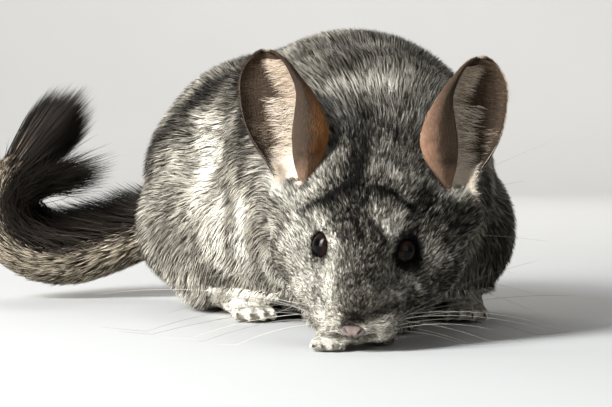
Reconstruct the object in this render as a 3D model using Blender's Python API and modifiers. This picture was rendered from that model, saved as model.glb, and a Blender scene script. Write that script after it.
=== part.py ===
"""A life-size chinchilla crouched on the floor, its head held low and its tail curled up beside it.

Metres, +Z up. The animal faces -Y, and its left side is towards +X. The surface of each solid is the
outside of the dense coat, and the floor is Z = 0.
"""

import math
import random

import bmesh
import bpy
import numpy as np
from mathutils import Euler, Matrix, Vector
from mathutils.bvhtree import BVHTree

# Clearance between pieces that touch, and how finely the flesh is meshed before it is thinned
GAP = 0.0003
BODY_VOXEL = 0.0026
HEAD_VOXEL = 0.0011
WHOLE_VOXEL = 0.0015
PAW_VOXEL = 0.0007
WHOLE_TRIANGLES = 3800
REGION_SEGMENTS = 20
FLAT_ANGLE = math.radians(0.8)
FAR = 0.6

# Head: the point midway between the eyes, and how it is turned (pitch down, roll, yaw)
HEAD_CENTRE = Vector((0.0219, -0.0765, 0.0366))
HEAD_PITCH = math.radians(40)
HEAD_ROLL = math.radians(4)
HEAD_YAW = math.radians(-7)

# Points on the head, in its own frame: +X its left, -Y towards the nose, +Z towards the crown
EYE_AIM = Vector((0.0150, 0.0000, 0.0000))
EYE_FACING = Vector((0.74, -0.55, 0.38)).normalized()
EYE_RADIUS = 0.0060
EYE_BULGE = 0.0029
LID_OPENING = (0.0063, 0.0059)
LID_SECTION = (0.0008, 0.0020)
LID_FORWARD = 0.0026
NOSE_CENTRE = Vector((0, -0.0358, -0.0068))
NOSE_RADII = (0.0046, 0.0030, 0.0032)
JAW_CENTRE = Vector((0, -0.0150, -0.0243))
JAW_RADII = (0.0125, 0.0245, 0.0135)

# Where the head ends and the neck ends, as rounded regions in the head's frame
HEAD_REGION = (Vector((0, 0.0000, 0.0000)), (0.0580, 0.0490, 0.0370))
NECK_REGION = (Vector((0, 0.0260, 0.0060)), (0.0720, 0.0480, 0.0460))

# Ears: the base of each, and rows of (height, outer edge, inner turn, edge of the front fold) in mm
EAR_BASES = {-1: Vector((-0.0063, -0.0570, 0.0584)), 1: Vector((0.0597, -0.0570, 0.0556))}
EAR_MOUND = (Vector((0, 0.0005, -0.0065)), (0.0105, 0.0110, 0.0125))
EAR_MOUND_REACH = (Vector((-0.0085, 0.0030, -0.0080)), (0.0120, 0.0120, 0.0120))
EAR_ROWS = (
    (-3.0, 3.0, -4.5, -1.5),
    (0.5, 4.0, -6.0, -3.0),
    (5.7, 6.0, -8.6, -4.6),
    (11.0, 9.0, -11.2, -3.2),
    (16.0, 12.5, -13.5, -1.2),
    (22.0, 16.0, -14.9, -1.0),
    (29.0, 18.6, -13.4, -1.8),
    (38.0, 20.0, -8.6, -2.6),
    (44.5, 19.7, -3.6, -0.8),
    (50.0, 17.4, 0.8, 2.0),
    (53.4, 14.2, 4.6, 5.2),
    (54.8, 11.8, 7.6, 8.0),
)
EAR_LEAN_BACK = 0.16
EAR_CUP_DEPTH = 0.0105
EAR_TURN_BACK = 0.30
EAR_THICKNESS = 0.0012

# Tail: the line of its bones, from the rump along the floor and up over itself
TAIL_LINE = (
    Vector((-0.052, 0.118, 0.040)),
    Vector((-0.076, 0.130, 0.034)),
    Vector((-0.096, 0.133, 0.026)),
    Vector((-0.115, 0.133, 0.020)),
    Vector((-0.133, 0.131, 0.021)),
    Vector((-0.146, 0.128, 0.029)),
    Vector((-0.152, 0.125, 0.043)),
    Vector((-0.149, 0.122, 0.056)),
    Vector((-0.141, 0.120, 0.066)),
)
LOCK_STEPS = (0.0, 0.34, 0.70, 1.0)
LOCK_WIDTHS = (0.70, 1.0, 0.62)
LOCK_THICKNESSES = (0.0026, 0.0021, 0.0013)
TAIL_CORE = ((0, 0.15, 0.4, 0.7, 1), (0.0090, 0.0105, 0.0110, 0.0100, 0.0060))
TAIL_CUTS = (0.0, 0.40, 0.84, 1.0)
TAIL_CUT_ANGLE = math.radians(52)
TAIL_LOCK_ANGLE = math.radians(58)
TAIL_LOCK_LENGTHS = ((0, 0.3, 0.7, 1), (0.018, 0.026, 0.033, 0.036))
TAIL_LOCK_WIDTH = 0.0096
TAIL_LOCK_ROWS = 20
TAIL_LOCK_BEND = 0.30
BRUSH_AIM = Vector((0.66, -0.04, 0.75)).normalized()
BRUSH_LENGTH = 0.056
BRUSH_LOCKS = 12
BRUSH_SPREAD = 0.34

# Feet: heel, ball and size of each kind (width, height, toe length, spread of the toes, number of toes)
HIND_FEET = {
    -1: (Vector((-0.034, 0.066, 0)), Vector((-0.0245, 0.0245, 0))),
    1: (Vector((0.0740, 0.064, 0)), Vector((0.0700, 0.0230, 0))),
}
HIND_FOOT_SIZES = (0.0120, 0.0108, 0.0150, 24, 4)
FOREPAWS = {
    -1: (Vector((0.0100, -0.0745, 0)), Vector((0.0088, -0.0870, 0))),
    1: (Vector((0.0310, -0.0560, 0)), Vector((0.0290, -0.0680, 0))),
}
FOREPAW_SIZES = (0.0076, 0.0070, 0.0090, 28, 4)
FORELEG_RADII = (0.0085, 0.0062, 0.0048)
THIGH_REGIONS = {
    -1: (Vector((-0.066, 0.078, 0.030)), (0.040, 0.046, 0.052)),
    1: (Vector((0.096, 0.066, 0.030)), (0.040, 0.046, 0.052)),
}

SEED = 7


def clear_scene():
    for old in list(bpy.data.objects):
        bpy.data.objects.remove(old, do_unlink=True)


def collection(name):
    made = bpy.data.collections.new(name)
    bpy.context.scene.collection.children.link(made)
    return made


clear_scene()
ANIMAL = collection("chinchilla")
WORKSHOP = collection("workshop")


def finish_of(name, colour, roughness):
    made = bpy.data.materials.new(name)
    made.use_nodes = True
    shader = made.node_tree.nodes["Principled BSDF"]
    shader.inputs["Base Color"].default_value = (*colour, 1.0)
    shader.inputs["Roughness"].default_value = roughness
    shader.inputs["Metallic"].default_value = 0.0
    return made


BACK_FUR = finish_of("back_fur", (0.16, 0.15, 0.14), 0.9)
FACE_FUR = finish_of("face_fur", (0.30, 0.29, 0.26), 0.9)
PAW_FUR = finish_of("paw_fur", (0.62, 0.59, 0.54), 0.9)
TAIL_FUR = finish_of("tail_fur", (0.22, 0.20, 0.18), 0.9)
EAR_SKIN = finish_of("ear_skin", (0.33, 0.23, 0.18), 0.7)
NOSE_SKIN = finish_of("nose_skin", (0.42, 0.28, 0.25), 0.5)
EYE_GLASS = finish_of("eye_dark", (0.012, 0.008, 0.007), 0.05)
CLAW_HORN = finish_of("claw_horn", (0.30, 0.25, 0.21), 0.4)


def new_object(name, mesh, group=WORKSHOP):
    made = bpy.data.objects.new(name, mesh)
    group.objects.link(made)
    if group is WORKSHOP:
        made.hide_render = True
        made.display_type = "WIRE"
    return made


def discard(pieces):
    for piece in pieces:
        bpy.data.objects.remove(piece, do_unlink=True)


def baked(piece):
    """Applies every modifier of a piece."""
    graph = bpy.context.evaluated_depsgraph_get()
    mesh = bpy.data.meshes.new_from_object(piece.evaluated_get(graph))
    piece.modifiers.clear()
    piece.data = mesh
    return piece


def ellipsoid(centre, radii, turn=(0, 0, 0), frame=None, segments=32):
    """A ball stretched to its three radii, turned, and placed in a frame such as the head's."""
    shape = bmesh.new()
    bmesh.ops.create_uvsphere(shape, u_segments=segments, v_segments=segments // 2, radius=1.0)
    place = Matrix.Translation(centre) @ Euler(turn).to_matrix().to_4x4() @ Matrix.Diagonal((*radii, 1.0))
    bmesh.ops.transform(shape, matrix=(frame or Matrix()) @ place, verts=shape.verts)
    mesh = bpy.data.meshes.new("ellipsoid")
    shape.to_mesh(mesh)
    shape.free()
    return new_object("ellipsoid", mesh)


def limb(points, radii, frame=None, steps=8):
    """Overlapping balls along a bent line, which fuse into a rounded limb."""
    balls = []
    for start, end, r0, r1 in zip(points, points[1:], radii, radii[1:]):
        for i in range(steps):
            t = i / (steps - 1)
            radius = r0 + (r1 - r0) * t
            balls.append(ellipsoid(start.lerp(end, t), (radius,) * 3, frame=frame, segments=16))
    return balls


def joined(pieces):
    """The pieces as one mesh object, with their walls still crossing."""
    shape = bmesh.new()
    for piece in pieces:
        shape.from_mesh(piece.data)
    mesh = bpy.data.meshes.new("joined")
    shape.to_mesh(mesh)
    shape.free()
    discard(pieces)
    return new_object("joined", mesh)


def fused(pieces, voxel, smoothing):
    """One closed skin round all the pieces, with the creases between them softened."""
    made = joined(pieces)
    remesh = made.modifiers.new("skin", "REMESH")
    remesh.mode = "VOXEL"
    remesh.voxel_size = voxel
    remesh.use_smooth_shade = True
    soften = made.modifiers.new("soften", "SMOOTH")
    soften.factor = 0.5
    soften.iterations = smoothing
    return baked(made)


def thinned(piece, triangles):
    """Fewer triangles, kept where the form turns sharply."""
    piece.data.calc_loop_triangles()
    decimate = piece.modifiers.new("thin", "DECIMATE")
    decimate.ratio = min(1.0, triangles / len(piece.data.loop_triangles))
    decimate.use_collapse_triangulate = True
    return baked(piece)


def copy_of(piece, group=WORKSHOP):
    return new_object(piece.name, piece.data.copy(), group)


def grown(piece, distance):
    """A copy whose surface lies that far outside the piece."""
    made = copy_of(piece)
    shape = bmesh.new()
    shape.from_mesh(made.data)
    shape.normal_update()
    moves = [vertex.normal * distance for vertex in shape.verts]
    for vertex, move in zip(shape.verts, moves):
        vertex.co += move
    shape.to_mesh(made.data)
    shape.free()
    return made


def largest_surface(piece):
    """Keeps the largest closed surface of the mesh and drops loose scraps."""
    shape = bmesh.new()
    shape.from_mesh(piece.data)
    unseen = set(shape.verts)
    groups = []
    while unseen:
        reached = {unseen.pop()}
        edge_of_search = list(reached)
        while edge_of_search:
            vertex = edge_of_search.pop()
            for edge in vertex.link_edges:
                other = edge.other_vert(vertex)
                if other in unseen:
                    unseen.discard(other)
                    reached.add(other)
                    edge_of_search.append(other)
        groups.append(reached)
    groups.sort(key=len)
    scraps = [vertex for group in groups[:-1] for vertex in group]
    bmesh.ops.delete(shape, geom=scraps, context="VERTS")
    bmesh.ops.dissolve_limit(shape, angle_limit=FLAT_ANGLE, verts=shape.verts, edges=shape.edges)
    bmesh.ops.triangulate(shape, faces=shape.faces)
    bmesh.ops.dissolve_degenerate(shape, dist=0.00002, edges=shape.edges)
    bmesh.ops.triangulate(shape, faces=shape.faces)
    shape.to_mesh(piece.data)
    shape.free()
    return piece


def carved(piece, other, operation, solver="EXACT"):
    """Applies one Boolean with another closed mesh."""
    change = piece.modifiers.new(operation.lower(), "BOOLEAN")
    change.operation = operation
    change.solver = solver
    change.object = other
    return largest_surface(baked(piece))


def united(pieces, solver="EXACT"):
    """One Boolean union of a whole collection of closed pieces."""
    first, rest = pieces[0], pieces[1:]
    group = collection("union")
    for piece in rest:
        WORKSHOP.objects.unlink(piece)
        group.objects.link(piece)
    change = first.modifiers.new("union", "BOOLEAN")
    change.operation = "UNION"
    change.solver = solver
    change.operand_type = "COLLECTION"
    change.collection = group
    baked(first)
    discard(rest)
    bpy.data.collections.remove(group)
    return largest_surface(first)


def half_space(point, normal):
    """A block that fills everything on the normal's side of a plane."""
    shape = bmesh.new()
    bmesh.ops.create_cube(shape, size=2 * FAR)
    turn = normal.to_track_quat("Z", "Y").to_matrix().to_4x4()
    place = Matrix.Translation(point) @ turn @ Matrix.Translation((0, 0, FAR))
    bmesh.ops.transform(shape, matrix=place, verts=shape.verts)
    mesh = bpy.data.meshes.new("half_space")
    shape.to_mesh(mesh)
    shape.free()
    return new_object("half_space", mesh)


def parted(piece, point, normal):
    """Splits a piece with a thin flat cut: (the side behind the plane, the side before it)."""
    normal = normal.normalized()
    before = copy_of(piece)
    ahead = half_space(point + normal * GAP / 2, normal)
    behind_block = half_space(point - normal * GAP / 2, -normal)
    carved(before, ahead, "INTERSECT")
    carved(piece, behind_block, "INTERSECT")
    discard([ahead, behind_block])
    return piece, before


def node(piece, name, finish):
    """Names a finished solid and shows it."""
    WORKSHOP.objects.unlink(piece)
    ANIMAL.objects.link(piece)
    piece.name = name
    piece.hide_render = False
    piece.display_type = "TEXTURED"
    piece.data.materials.clear()
    piece.data.materials.append(finish)
    piece.data.shade_smooth()
    piece.data.set_sharp_from_angle(angle=math.radians(50))
    return piece


def head_frame():
    turn = (
        Matrix.Rotation(HEAD_YAW, 4, "Z")
        @ Matrix.Rotation(HEAD_ROLL, 4, "Y")
        @ Matrix.Rotation(HEAD_PITCH, 4, "X")
    )
    return Matrix.Translation(HEAD_CENTRE) @ turn


HEAD = head_frame()
HEAD_TURN = HEAD.to_3x3()


def sided(point, side):
    """The same point on the left (+1) or the right (-1) of the head."""
    return Vector((point.x * side, point.y, point.z))


def trunk_mass():
    """Shoulders, arched back, rump, belly and haunches, as the coat's outer surface."""
    yaw = math.radians(20)
    return [
        ellipsoid((0.0240, -0.0320, 0.0600), (0.0370, 0.0340, 0.0330), (0, 0, 0)),
        ellipsoid((0.0235, -0.0120, 0.0550), (0.0550, 0.0440, 0.0480), (0, 0, yaw * 0.3)),
        ellipsoid((0.0220, 0.0140, 0.0610), (0.0600, 0.0600, 0.0590), (0, 0, yaw * 0.6)),
        ellipsoid((0.0210, 0.0450, 0.0650), (0.0630, 0.0640, 0.0640), (0, 0, yaw)),
        ellipsoid((0.0040, 0.0720, 0.0620), (0.0600, 0.0620, 0.0622), (0, 0, yaw)),
        ellipsoid((-0.0180, 0.0960, 0.0600), (0.0580, 0.0560, 0.0612), (0, 0, yaw)),
        ellipsoid((0.0060, 0.0500, 0.0450), (0.0640, 0.0850, 0.0425), (0, 0, yaw)),
        ellipsoid((-0.0400, 0.0680, 0.0390), (0.0350, 0.0520, 0.0380), (0, 0, yaw)),
        ellipsoid((0.0570, 0.0540, 0.0390), (0.0350, 0.0520, 0.0380), (0, 0, yaw)),
        ellipsoid((0.0240, -0.0300, 0.0260), (0.0360, 0.0320, 0.0270), (0, 0, yaw * 0.3)),
    ]


def head_mass():
    """Skull, brow, cheeks and muzzle under short, dense fur."""
    pieces = [
        ellipsoid((0, 0.0280, -0.0010), (0.0310, 0.0285, 0.0235), frame=HEAD),
        ellipsoid((0, 0.0060, 0.0005), (0.0165, 0.0220, 0.0130), frame=HEAD),
        ellipsoid((0, -0.0140, -0.0020), (0.0130, 0.0205, 0.0100), frame=HEAD),
        ellipsoid((0, -0.0276, -0.0082), (0.0086, 0.0096, 0.0074), frame=HEAD),
        ellipsoid((0, -0.0160, -0.0165), (0.0105, 0.0150, 0.0070), frame=HEAD),
        ellipsoid((0, -0.0276, -0.0160), (0.0068, 0.0062, 0.0048), frame=HEAD),
        ellipsoid((0, 0.0120, -0.0150), (0.0230, 0.0240, 0.0150), frame=HEAD),
    ]
    for side in (-1, 1):
        pieces += [
            ellipsoid((0.0210 * side, 0.0170, -0.0140), (0.0190, 0.0230, 0.0180), frame=HEAD),
            ellipsoid((0.0225 * side, 0.0215, -0.0050), (0.0165, 0.0180, 0.0160), frame=HEAD),
            ellipsoid((0.0130 * side, -0.0010, -0.0130), (0.0165, 0.0200, 0.0122), frame=HEAD),
            ellipsoid(EAR_BASES[side] + EAR_MOUND[0], EAR_MOUND[1]),
            ellipsoid(EAR_BASES[side] + sided(EAR_MOUND_REACH[0], side), EAR_MOUND_REACH[1]),
            ellipsoid((0.0095 * side, -0.0130, -0.0100), (0.0115, 0.0160, 0.0105), frame=HEAD),
            ellipsoid((0.0084 * side, -0.0250, -0.0112), (0.0090, 0.0100, 0.0080), frame=HEAD),
        ]
    return pieces


def whole_animal():
    """Head, neck and trunk as one continuous surface, cut flat where it rests on the floor."""
    trunk = fused(trunk_mass(), BODY_VOXEL, 14)
    head = fused(head_mass(), HEAD_VOXEL, 5)
    whole = fused([trunk, head], WHOLE_VOXEL, 4)
    thinned(whole, WHOLE_TRIANGLES)
    floor = half_space(Vector((0, 0, 0)), Vector((0, 0, 1)))
    carved(whole, floor, "INTERSECT")
    discard([floor])
    return whole


def surface_point(piece, start, direction):
    """Where a ray from outside first meets the piece."""
    shape = bmesh.new()
    shape.from_mesh(piece.data)
    tree = BVHTree.FromBMesh(shape)
    shape.free()
    return tree.ray_cast(start, direction)[0]


def smooth_row(row, at):
    """The ear's row at any place between the named ones."""
    i = min(int(at), len(EAR_ROWS) - 2)
    f = at - i
    rows = [EAR_ROWS[max(i - 1, 0)], EAR_ROWS[i], EAR_ROWS[i + 1], EAR_ROWS[min(i + 2, len(EAR_ROWS) - 1)]]
    p0, p1, p2, p3 = (r[row] for r in rows)
    return 0.5 * (
        2 * p1 + (p2 - p0) * f + (2 * p0 - 5 * p1 + 4 * p2 - p3) * f**2 + (3 * p1 - p0 - 3 * p2 + p3) * f**3
    )


def ear_section(at):
    """The rolled sheet at one height, from the edge of the front fold round to the outer edge."""
    height, outer, inner, fold = (smooth_row(row, at) / 1000 for row in range(4))
    level = max(0.0, min(1.0, height / 0.0548))
    rooted = 0.45 + 0.55 * max(0.0, min(1.0, height / 0.016))
    depth = EAR_CUP_DEPTH * rooted * (1 - 0.72 * level**1.4)
    width = outer - inner
    corners = (
        (fold, -0.80 * depth),
        (fold * 0.45 + inner * 0.55, -0.92 * depth),
        (inner, -0.10 * depth),
        (inner + width * 0.22, 0.72 * depth),
        (inner + width * 0.58, 0.80 * depth),
        (inner + width * 0.86, 0.34 * depth),
        (outer, -0.30 * depth),
    )
    return height, corners


def along(corners, t):
    """A smooth curve through the corners, t from 0 to 1."""
    spread = t * (len(corners) - 1)
    i = min(int(spread), len(corners) - 2)
    f = spread - i
    last = len(corners) - 1
    four = [Vector(corners[max(i - 1, 0)]), Vector(corners[i])]
    four += [Vector(corners[i + 1]), Vector(corners[min(i + 2, last)])]
    p0, p1, p2, p3 = four
    return 0.5 * (
        2 * p1 + (p2 - p0) * f + (2 * p0 - 5 * p1 + 4 * p2 - p3) * f**2 + (3 * p1 - p0 - 3 * p2 + p3) * f**3
    )


def ear_sheet(side, rows=14, columns=11):
    """The cup of one ear: a rolled sheet that opens to the front, thickened to real skin."""
    shape = bmesh.new()
    grid = []
    for i in range(rows):
        height, corners = ear_section((len(EAR_ROWS) - 1) * i / (rows - 1))
        line = []
        for j in range(columns):
            across, depth = along(corners, j / (columns - 1))
            back = depth + EAR_TURN_BACK * across + EAR_LEAN_BACK * height
            spot = Vector((across * side, back, height))
            line.append(shape.verts.new(EAR_BASES[side] + spot))
        grid.append(line)
    for low, high in zip(grid, grid[1:]):
        for a, b, c, d in zip(low, low[1:], high[1:], high):
            shape.faces.new((a, b, c) if side > 0 else (c, b, a))
            shape.faces.new((a, c, d) if side > 0 else (d, c, a))
    mesh = bpy.data.meshes.new("ear")
    shape.to_mesh(mesh)
    shape.free()
    made = new_object("ear", mesh)
    shell = made.modifiers.new("skin", "SOLIDIFY")
    shell.thickness = EAR_THICKNESS
    shell.offset = 0
    return largest_surface(baked(made))


def oval_ring(centre, facing, across, half_sizes, half_section):
    """A torus stretched to an oval, whose section is (half width, half depth along the facing)."""
    bpy.ops.mesh.primitive_torus_add(
        major_segments=20,
        minor_segments=6,
        major_radius=1.0,
        minor_radius=half_section[0] / half_sizes[0],
    )
    made = bpy.context.object
    upward = facing.cross(across).normalized()
    across = upward.cross(facing).normalized()
    deep = half_section[1] * half_sizes[0] / half_section[0]
    columns = (across * half_sizes[0], upward * half_sizes[1], facing * deep)
    made.data.transform(Matrix.Translation(centre) @ Matrix(columns).transposed().to_4x4())
    mesh = made.data
    bpy.data.objects.remove(made)
    return new_object("ring", mesh)


def tapered_blade(points, widths, thicknesses, across):
    """A flat closed lock along a bent line: four-sided sections, a root and a pointed tip."""
    shape = bmesh.new()
    rings = []
    for i, (point, width, thickness) in enumerate(zip(points[:-1], widths, thicknesses)):
        ahead = (points[i + 1] - point).normalized()
        side = (across - ahead * across.dot(ahead)).normalized()
        face = ahead.cross(side).normalized()
        moves = (side * width, face * thickness, -side * width, -face * thickness)
        rings.append([shape.verts.new(point + move / 2) for move in moves])
    tip = shape.verts.new(points[-1])
    for near, far in zip(rings, rings[1:]):
        for a, b, c, d in zip(near, near[1:] + near[:1], far[1:] + far[:1], far):
            shape.faces.new((a, b, c))
            shape.faces.new((a, c, d))
    for a, b in zip(rings[-1], rings[-1][1:] + rings[-1][:1]):
        shape.faces.new((a, b, tip))
    root = rings[0]
    shape.faces.new((root[2], root[1], root[0]))
    shape.faces.new((root[3], root[2], root[0]))
    bmesh.ops.recalc_face_normals(shape, faces=shape.faces)
    mesh = bpy.data.meshes.new("lock")
    shape.to_mesh(mesh)
    shape.free()
    return new_object("lock", mesh)


def tail_point(t):
    """A point of the tail's centreline, t from 0 at the rump to 1 at the end of the bones."""
    return along(TAIL_LINE, t)


def tail_direction(t):
    return (tail_point(min(t + 0.01, 1)) - tail_point(max(t - 0.01, 0))).normalized()


def tail_frame(t):
    """Along the tail, towards its bristly upper side, and across it."""
    ahead = tail_direction(t)
    across = Vector((0.1, 1, 0)).normalized()
    upper = ahead.cross(across)
    if upper.dot(Vector((-0.118, 0.13, 0.06)) - tail_point(t)) < 0:
        upper = -upper
    upper = (upper - ahead * upper.dot(ahead)).normalized()
    return ahead, upper, ahead.cross(upper).normalized()


def tail_radius(t):
    return float(np.interp(t, *TAIL_CORE))


def tail_core(start, end):
    """Flesh and short underside hair of one length of the tail."""
    count = max(8, round(44 * (end - start)))
    places = [start + (end - start) * i / (count - 1) for i in range(count)]
    balls = [ellipsoid(tail_point(t), (tail_radius(t),) * 3, segments=20) for t in places]
    core = fused(balls, 0.0014, 5)
    return thinned(core, round(620 * (end - start)) + 50)


def bent_lock(root, heading, falls, length, width, across):
    """A flat lock, widest before its middle, that bends from its heading towards the way it falls."""
    points = []
    for reach in LOCK_STEPS:
        points.append(root + (heading + falls * TAIL_LOCK_BEND * reach) * length * reach)
    widths = [width * share for share in LOCK_WIDTHS]
    return tapered_blade(points, widths, LOCK_THICKNESSES, across)


def tail_locks(start, end, draw):
    """Long flat bristles on the upper side, leaning towards the tip and longest there."""
    locks = []
    rows = max(2, round(TAIL_LOCK_ROWS * (end - start)))
    margin = 0.025
    for i in range(rows):
        t = start + margin + (end - start - 2 * margin) * i / (rows - 1)
        ahead, upper, across = tail_frame(t)
        for lane in (-1.0, 0.0, 1.0) if i % 2 else (-0.5, 0.5):
            swing = math.radians(50) * lane
            outward = (upper * math.cos(swing) + across * math.sin(swing)).normalized()
            angle = TAIL_LOCK_ANGLE + draw.uniform(-0.06, 0.06)
            heading = (ahead * math.cos(angle) + outward * math.sin(angle)).normalized()
            length = float(np.interp(t, *TAIL_LOCK_LENGTHS)) * draw.uniform(0.88, 1.12)
            root = tail_point(t) + outward * tail_radius(t) * 0.45
            flat = (across * math.cos(swing) - upper * math.sin(swing)).normalized()
            width = TAIL_LOCK_WIDTH * draw.uniform(0.88, 1.12)
            locks.append(bent_lock(root, heading, ahead, length, width, flat))
    return locks


def tail_tip_locks(draw):
    """The brush at the end of the tail: locks fanned round its last bones."""
    end = tail_point(1.0)
    ahead, upper, across = tail_frame(1.0)
    locks = []
    for i in range(BRUSH_LOCKS):
        angle = 2 * math.pi * i * 0.618
        ring = 0.15 + 0.85 * ((i + 0.5) / BRUSH_LOCKS) ** 0.5
        side = across * math.cos(angle) * 0.6 + upper * math.sin(angle)
        heading = (BRUSH_AIM + side * ring * BRUSH_SPREAD).normalized()
        length = BRUSH_LENGTH * (1 - 0.25 * ring) * draw.uniform(0.9, 1.08)
        root = end - BRUSH_AIM * 0.002 + side * ring * 0.0042
        width = TAIL_LOCK_WIDTH * draw.uniform(0.88, 1.12)
        flat = side.cross(heading).normalized()
        locks.append(bent_lock(root, heading, BRUSH_AIM - heading, length, width, flat))
    return locks


def tail_end_block(t, towards_tip):
    """The block that closes a length of tail, set along the lie of its bristles."""
    ahead, upper, across = tail_frame(t)
    lie = ahead * math.cos(TAIL_CUT_ANGLE) + upper * math.sin(TAIL_CUT_ANGLE)
    normal = lie.cross(across).normalized()
    if (normal.dot(ahead) > 0) != towards_tip:
        normal = -normal
    return half_space(tail_point(t) + normal * GAP / 2, normal)


def tail_lengths():
    """The tail in three lengths, each one body with its bristles, root first."""
    draw = random.Random(SEED)
    lengths = []
    last = len(TAIL_CUTS) - 2
    for i, (start, end) in enumerate(zip(TAIL_CUTS, TAIL_CUTS[1:])):
        first = start if i == 0 else start - 0.06
        final = end if i == last else end + 0.06
        pieces = [tail_core(first, final)] + tail_locks(start + (0.16 if i == 0 else 0), end, draw)
        if i == last:
            pieces += tail_tip_locks(draw)
        made = united(pieces, "MANIFOLD")
        if i > 0:
            block = tail_end_block(start, True)
            carved(made, block, "INTERSECT")
            discard([block])
        if i < last:
            block = tail_end_block(end, False)
            carved(made, block, "INTERSECT")
            discard([block])
        lengths.append(made)
    return lengths


def toe_line(root, heading, length, height):
    """Two bones of a toe: level at first, then down to its pad."""
    middle = root + heading * length * 0.55
    middle.z = height
    tip = root + heading * length
    tip.z = height * 0.72
    return [root, middle, tip]


def claw(tip, heading, size):
    """A short blunt nail that leaves the toe level and turns down."""
    across = Vector((-heading.y, heading.x, 0))
    drop = Vector((0, 0, -1))
    reaches = ((-0.9, 0.0), (0.8, 0.0), (1.9, 0.5))
    points = [tip + (heading * ahead + drop * down) * size for ahead, down in reaches]
    return tapered_blade(points, (size * 0.8, size * 0.6), (size * 0.9, size * 0.7), across)


def paw(heel, ball, sizes):
    """A flat foot with its toes and claws, resting on the floor."""
    width, height, toe_length, toe_spread, toe_count = sizes
    heading = (ball - heel).normalized()
    across = Vector((-heading.y, heading.x, 0))
    low_heel = heel + Vector((0, 0, height * 0.5))
    low_ball = ball + Vector((0, 0, height * 0.42))
    pieces = []
    for lane in (-0.26, 0.26):
        shift = across * width * lane
        pieces += limb([low_heel + shift * 0.7, low_ball + shift], [height * 0.52, height * 0.46])
    claws = []
    for i in range(toe_count):
        lane = i / (toe_count - 1) - 0.5
        root = low_ball + across * width * lane * 0.9
        turned = Matrix.Rotation(math.radians(toe_spread) * lane, 3, "Z") @ heading
        length = toe_length * (1 - 0.9 * abs(lane) ** 2)
        line = toe_line(root, turned, length, height * 0.36)
        pieces += limb(line, [height * 0.34, height * 0.27, height * 0.25])
        claws.append(claw(line[-1] + Vector((0, 0, height * 0.05)), turned, height * 0.20))
    made = fused(pieces, PAW_VOXEL, 3)
    thinned(made, 260)
    made = united([made] + claws, "MANIFOLD")
    floor = half_space(Vector((0, 0, 0)), Vector((0, 0, 1)))
    carved(made, floor, "INTERSECT")
    discard([floor])
    return made


def foreleg(side):
    """The upper foreleg, from the chest down to the wrist."""
    heel, ball = FOREPAWS[side]
    wrist = heel + Vector((0, 0.001, FOREPAW_SIZES[1] * 0.9))
    elbow = heel + Vector((0.002 * side, 0.020, 0.024))
    shoulder = heel + Vector((0.004 * side, 0.024, 0.040))
    made = fused(limb([shoulder, elbow, wrist], FORELEG_RADII), 0.0010, 3)
    return thinned(made, 240)


def eye_centre(side, flesh):
    """The eye sits in the head so that its front stands out by the bulge."""
    facing = HEAD_TURN @ sided(EYE_FACING, side)
    start = HEAD @ sided(EYE_AIM, side) + facing * 0.05
    return surface_point(flesh, start, -facing) + facing * (EYE_BULGE - EYE_RADIUS)


def eye_ball(centre, extra=0.0):
    return ellipsoid(centre, (EYE_RADIUS + extra,) * 3, segments=16)


def lid_ring(side, eye):
    """Upper and lower lid round one eye."""
    facing = HEAD_TURN @ sided(EYE_FACING, side)
    across = HEAD_TURN @ Vector((0.55 * side, 0.83, 0))
    return oval_ring(eye + facing * LID_FORWARD, facing, across, LID_OPENING, LID_SECTION)


def lips():
    """Upper lip in two halves from the cleft, and the lower lip on the chin."""
    paths = []
    for side in (-1, 1):
        cleft = (0.0005 * side, -0.0348, -0.0122)
        corner = (0.0072 * side, -0.0298, -0.0160)
        paths.append([cleft, (0.0040 * side, -0.0338, -0.0137), corner])
    paths.append([(-0.0046, -0.0300, -0.0177), (0, -0.0326, -0.0168), (0.0046, -0.0300, -0.0177)])
    made = []
    for path in paths:
        points = [Vector(p) for p in path]
        balls = limb(points, [0.0013, 0.0015, 0.0012], frame=HEAD, steps=6)
        made.append(thinned(fused(balls, 0.0005, 2), 110))
    return made


def nose_pad():
    """The bare nose, with its two comma-shaped nostrils."""
    pad = fused(
        [
            ellipsoid(NOSE_CENTRE, NOSE_RADII, frame=HEAD),
            ellipsoid(NOSE_CENTRE + Vector((0, 0.0004, -0.0017)), (0.0024, 0.0024, 0.0024), frame=HEAD),
        ],
        0.0006,
        3,
    )
    thinned(pad, 180)
    nostrils = []
    for side in (-1, 1):
        spot = NOSE_CENTRE + Vector((0.0025 * side, -0.0026, -0.0006))
        nostrils.append(ellipsoid(spot, (0.0012, 0.0022, 0.0007), (0, 0.5 * side, 0.3 * side), HEAD, 12))
    for nostril in nostrils:
        carved(pad, nostril, "DIFFERENCE")
    discard(nostrils)
    return pad


def region(spec, extra=0.0, frame=None):
    centre, radii = spec
    return ellipsoid(centre, [radius + extra for radius in radii], frame=frame, segments=REGION_SEGMENTS)


def split_off(piece, spec, frame=None):
    """Parts a piece along a rounded region: (inside it, outside it), with the gap between."""
    inside = copy_of(piece)
    core = region(spec, -GAP / 2, frame)
    shell = region(spec, GAP / 2, frame)
    carved(inside, core, "INTERSECT")
    carved(piece, shell, "DIFFERENCE")
    discard([core, shell])
    return inside, piece


def cleared(piece, others):
    """The piece cut back so that it keeps the gap from each of the others."""
    for other in others:
        cutter = grown(other, GAP)
        carved(piece, cutter, "DIFFERENCE")
        discard([cutter])
    return piece


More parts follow.
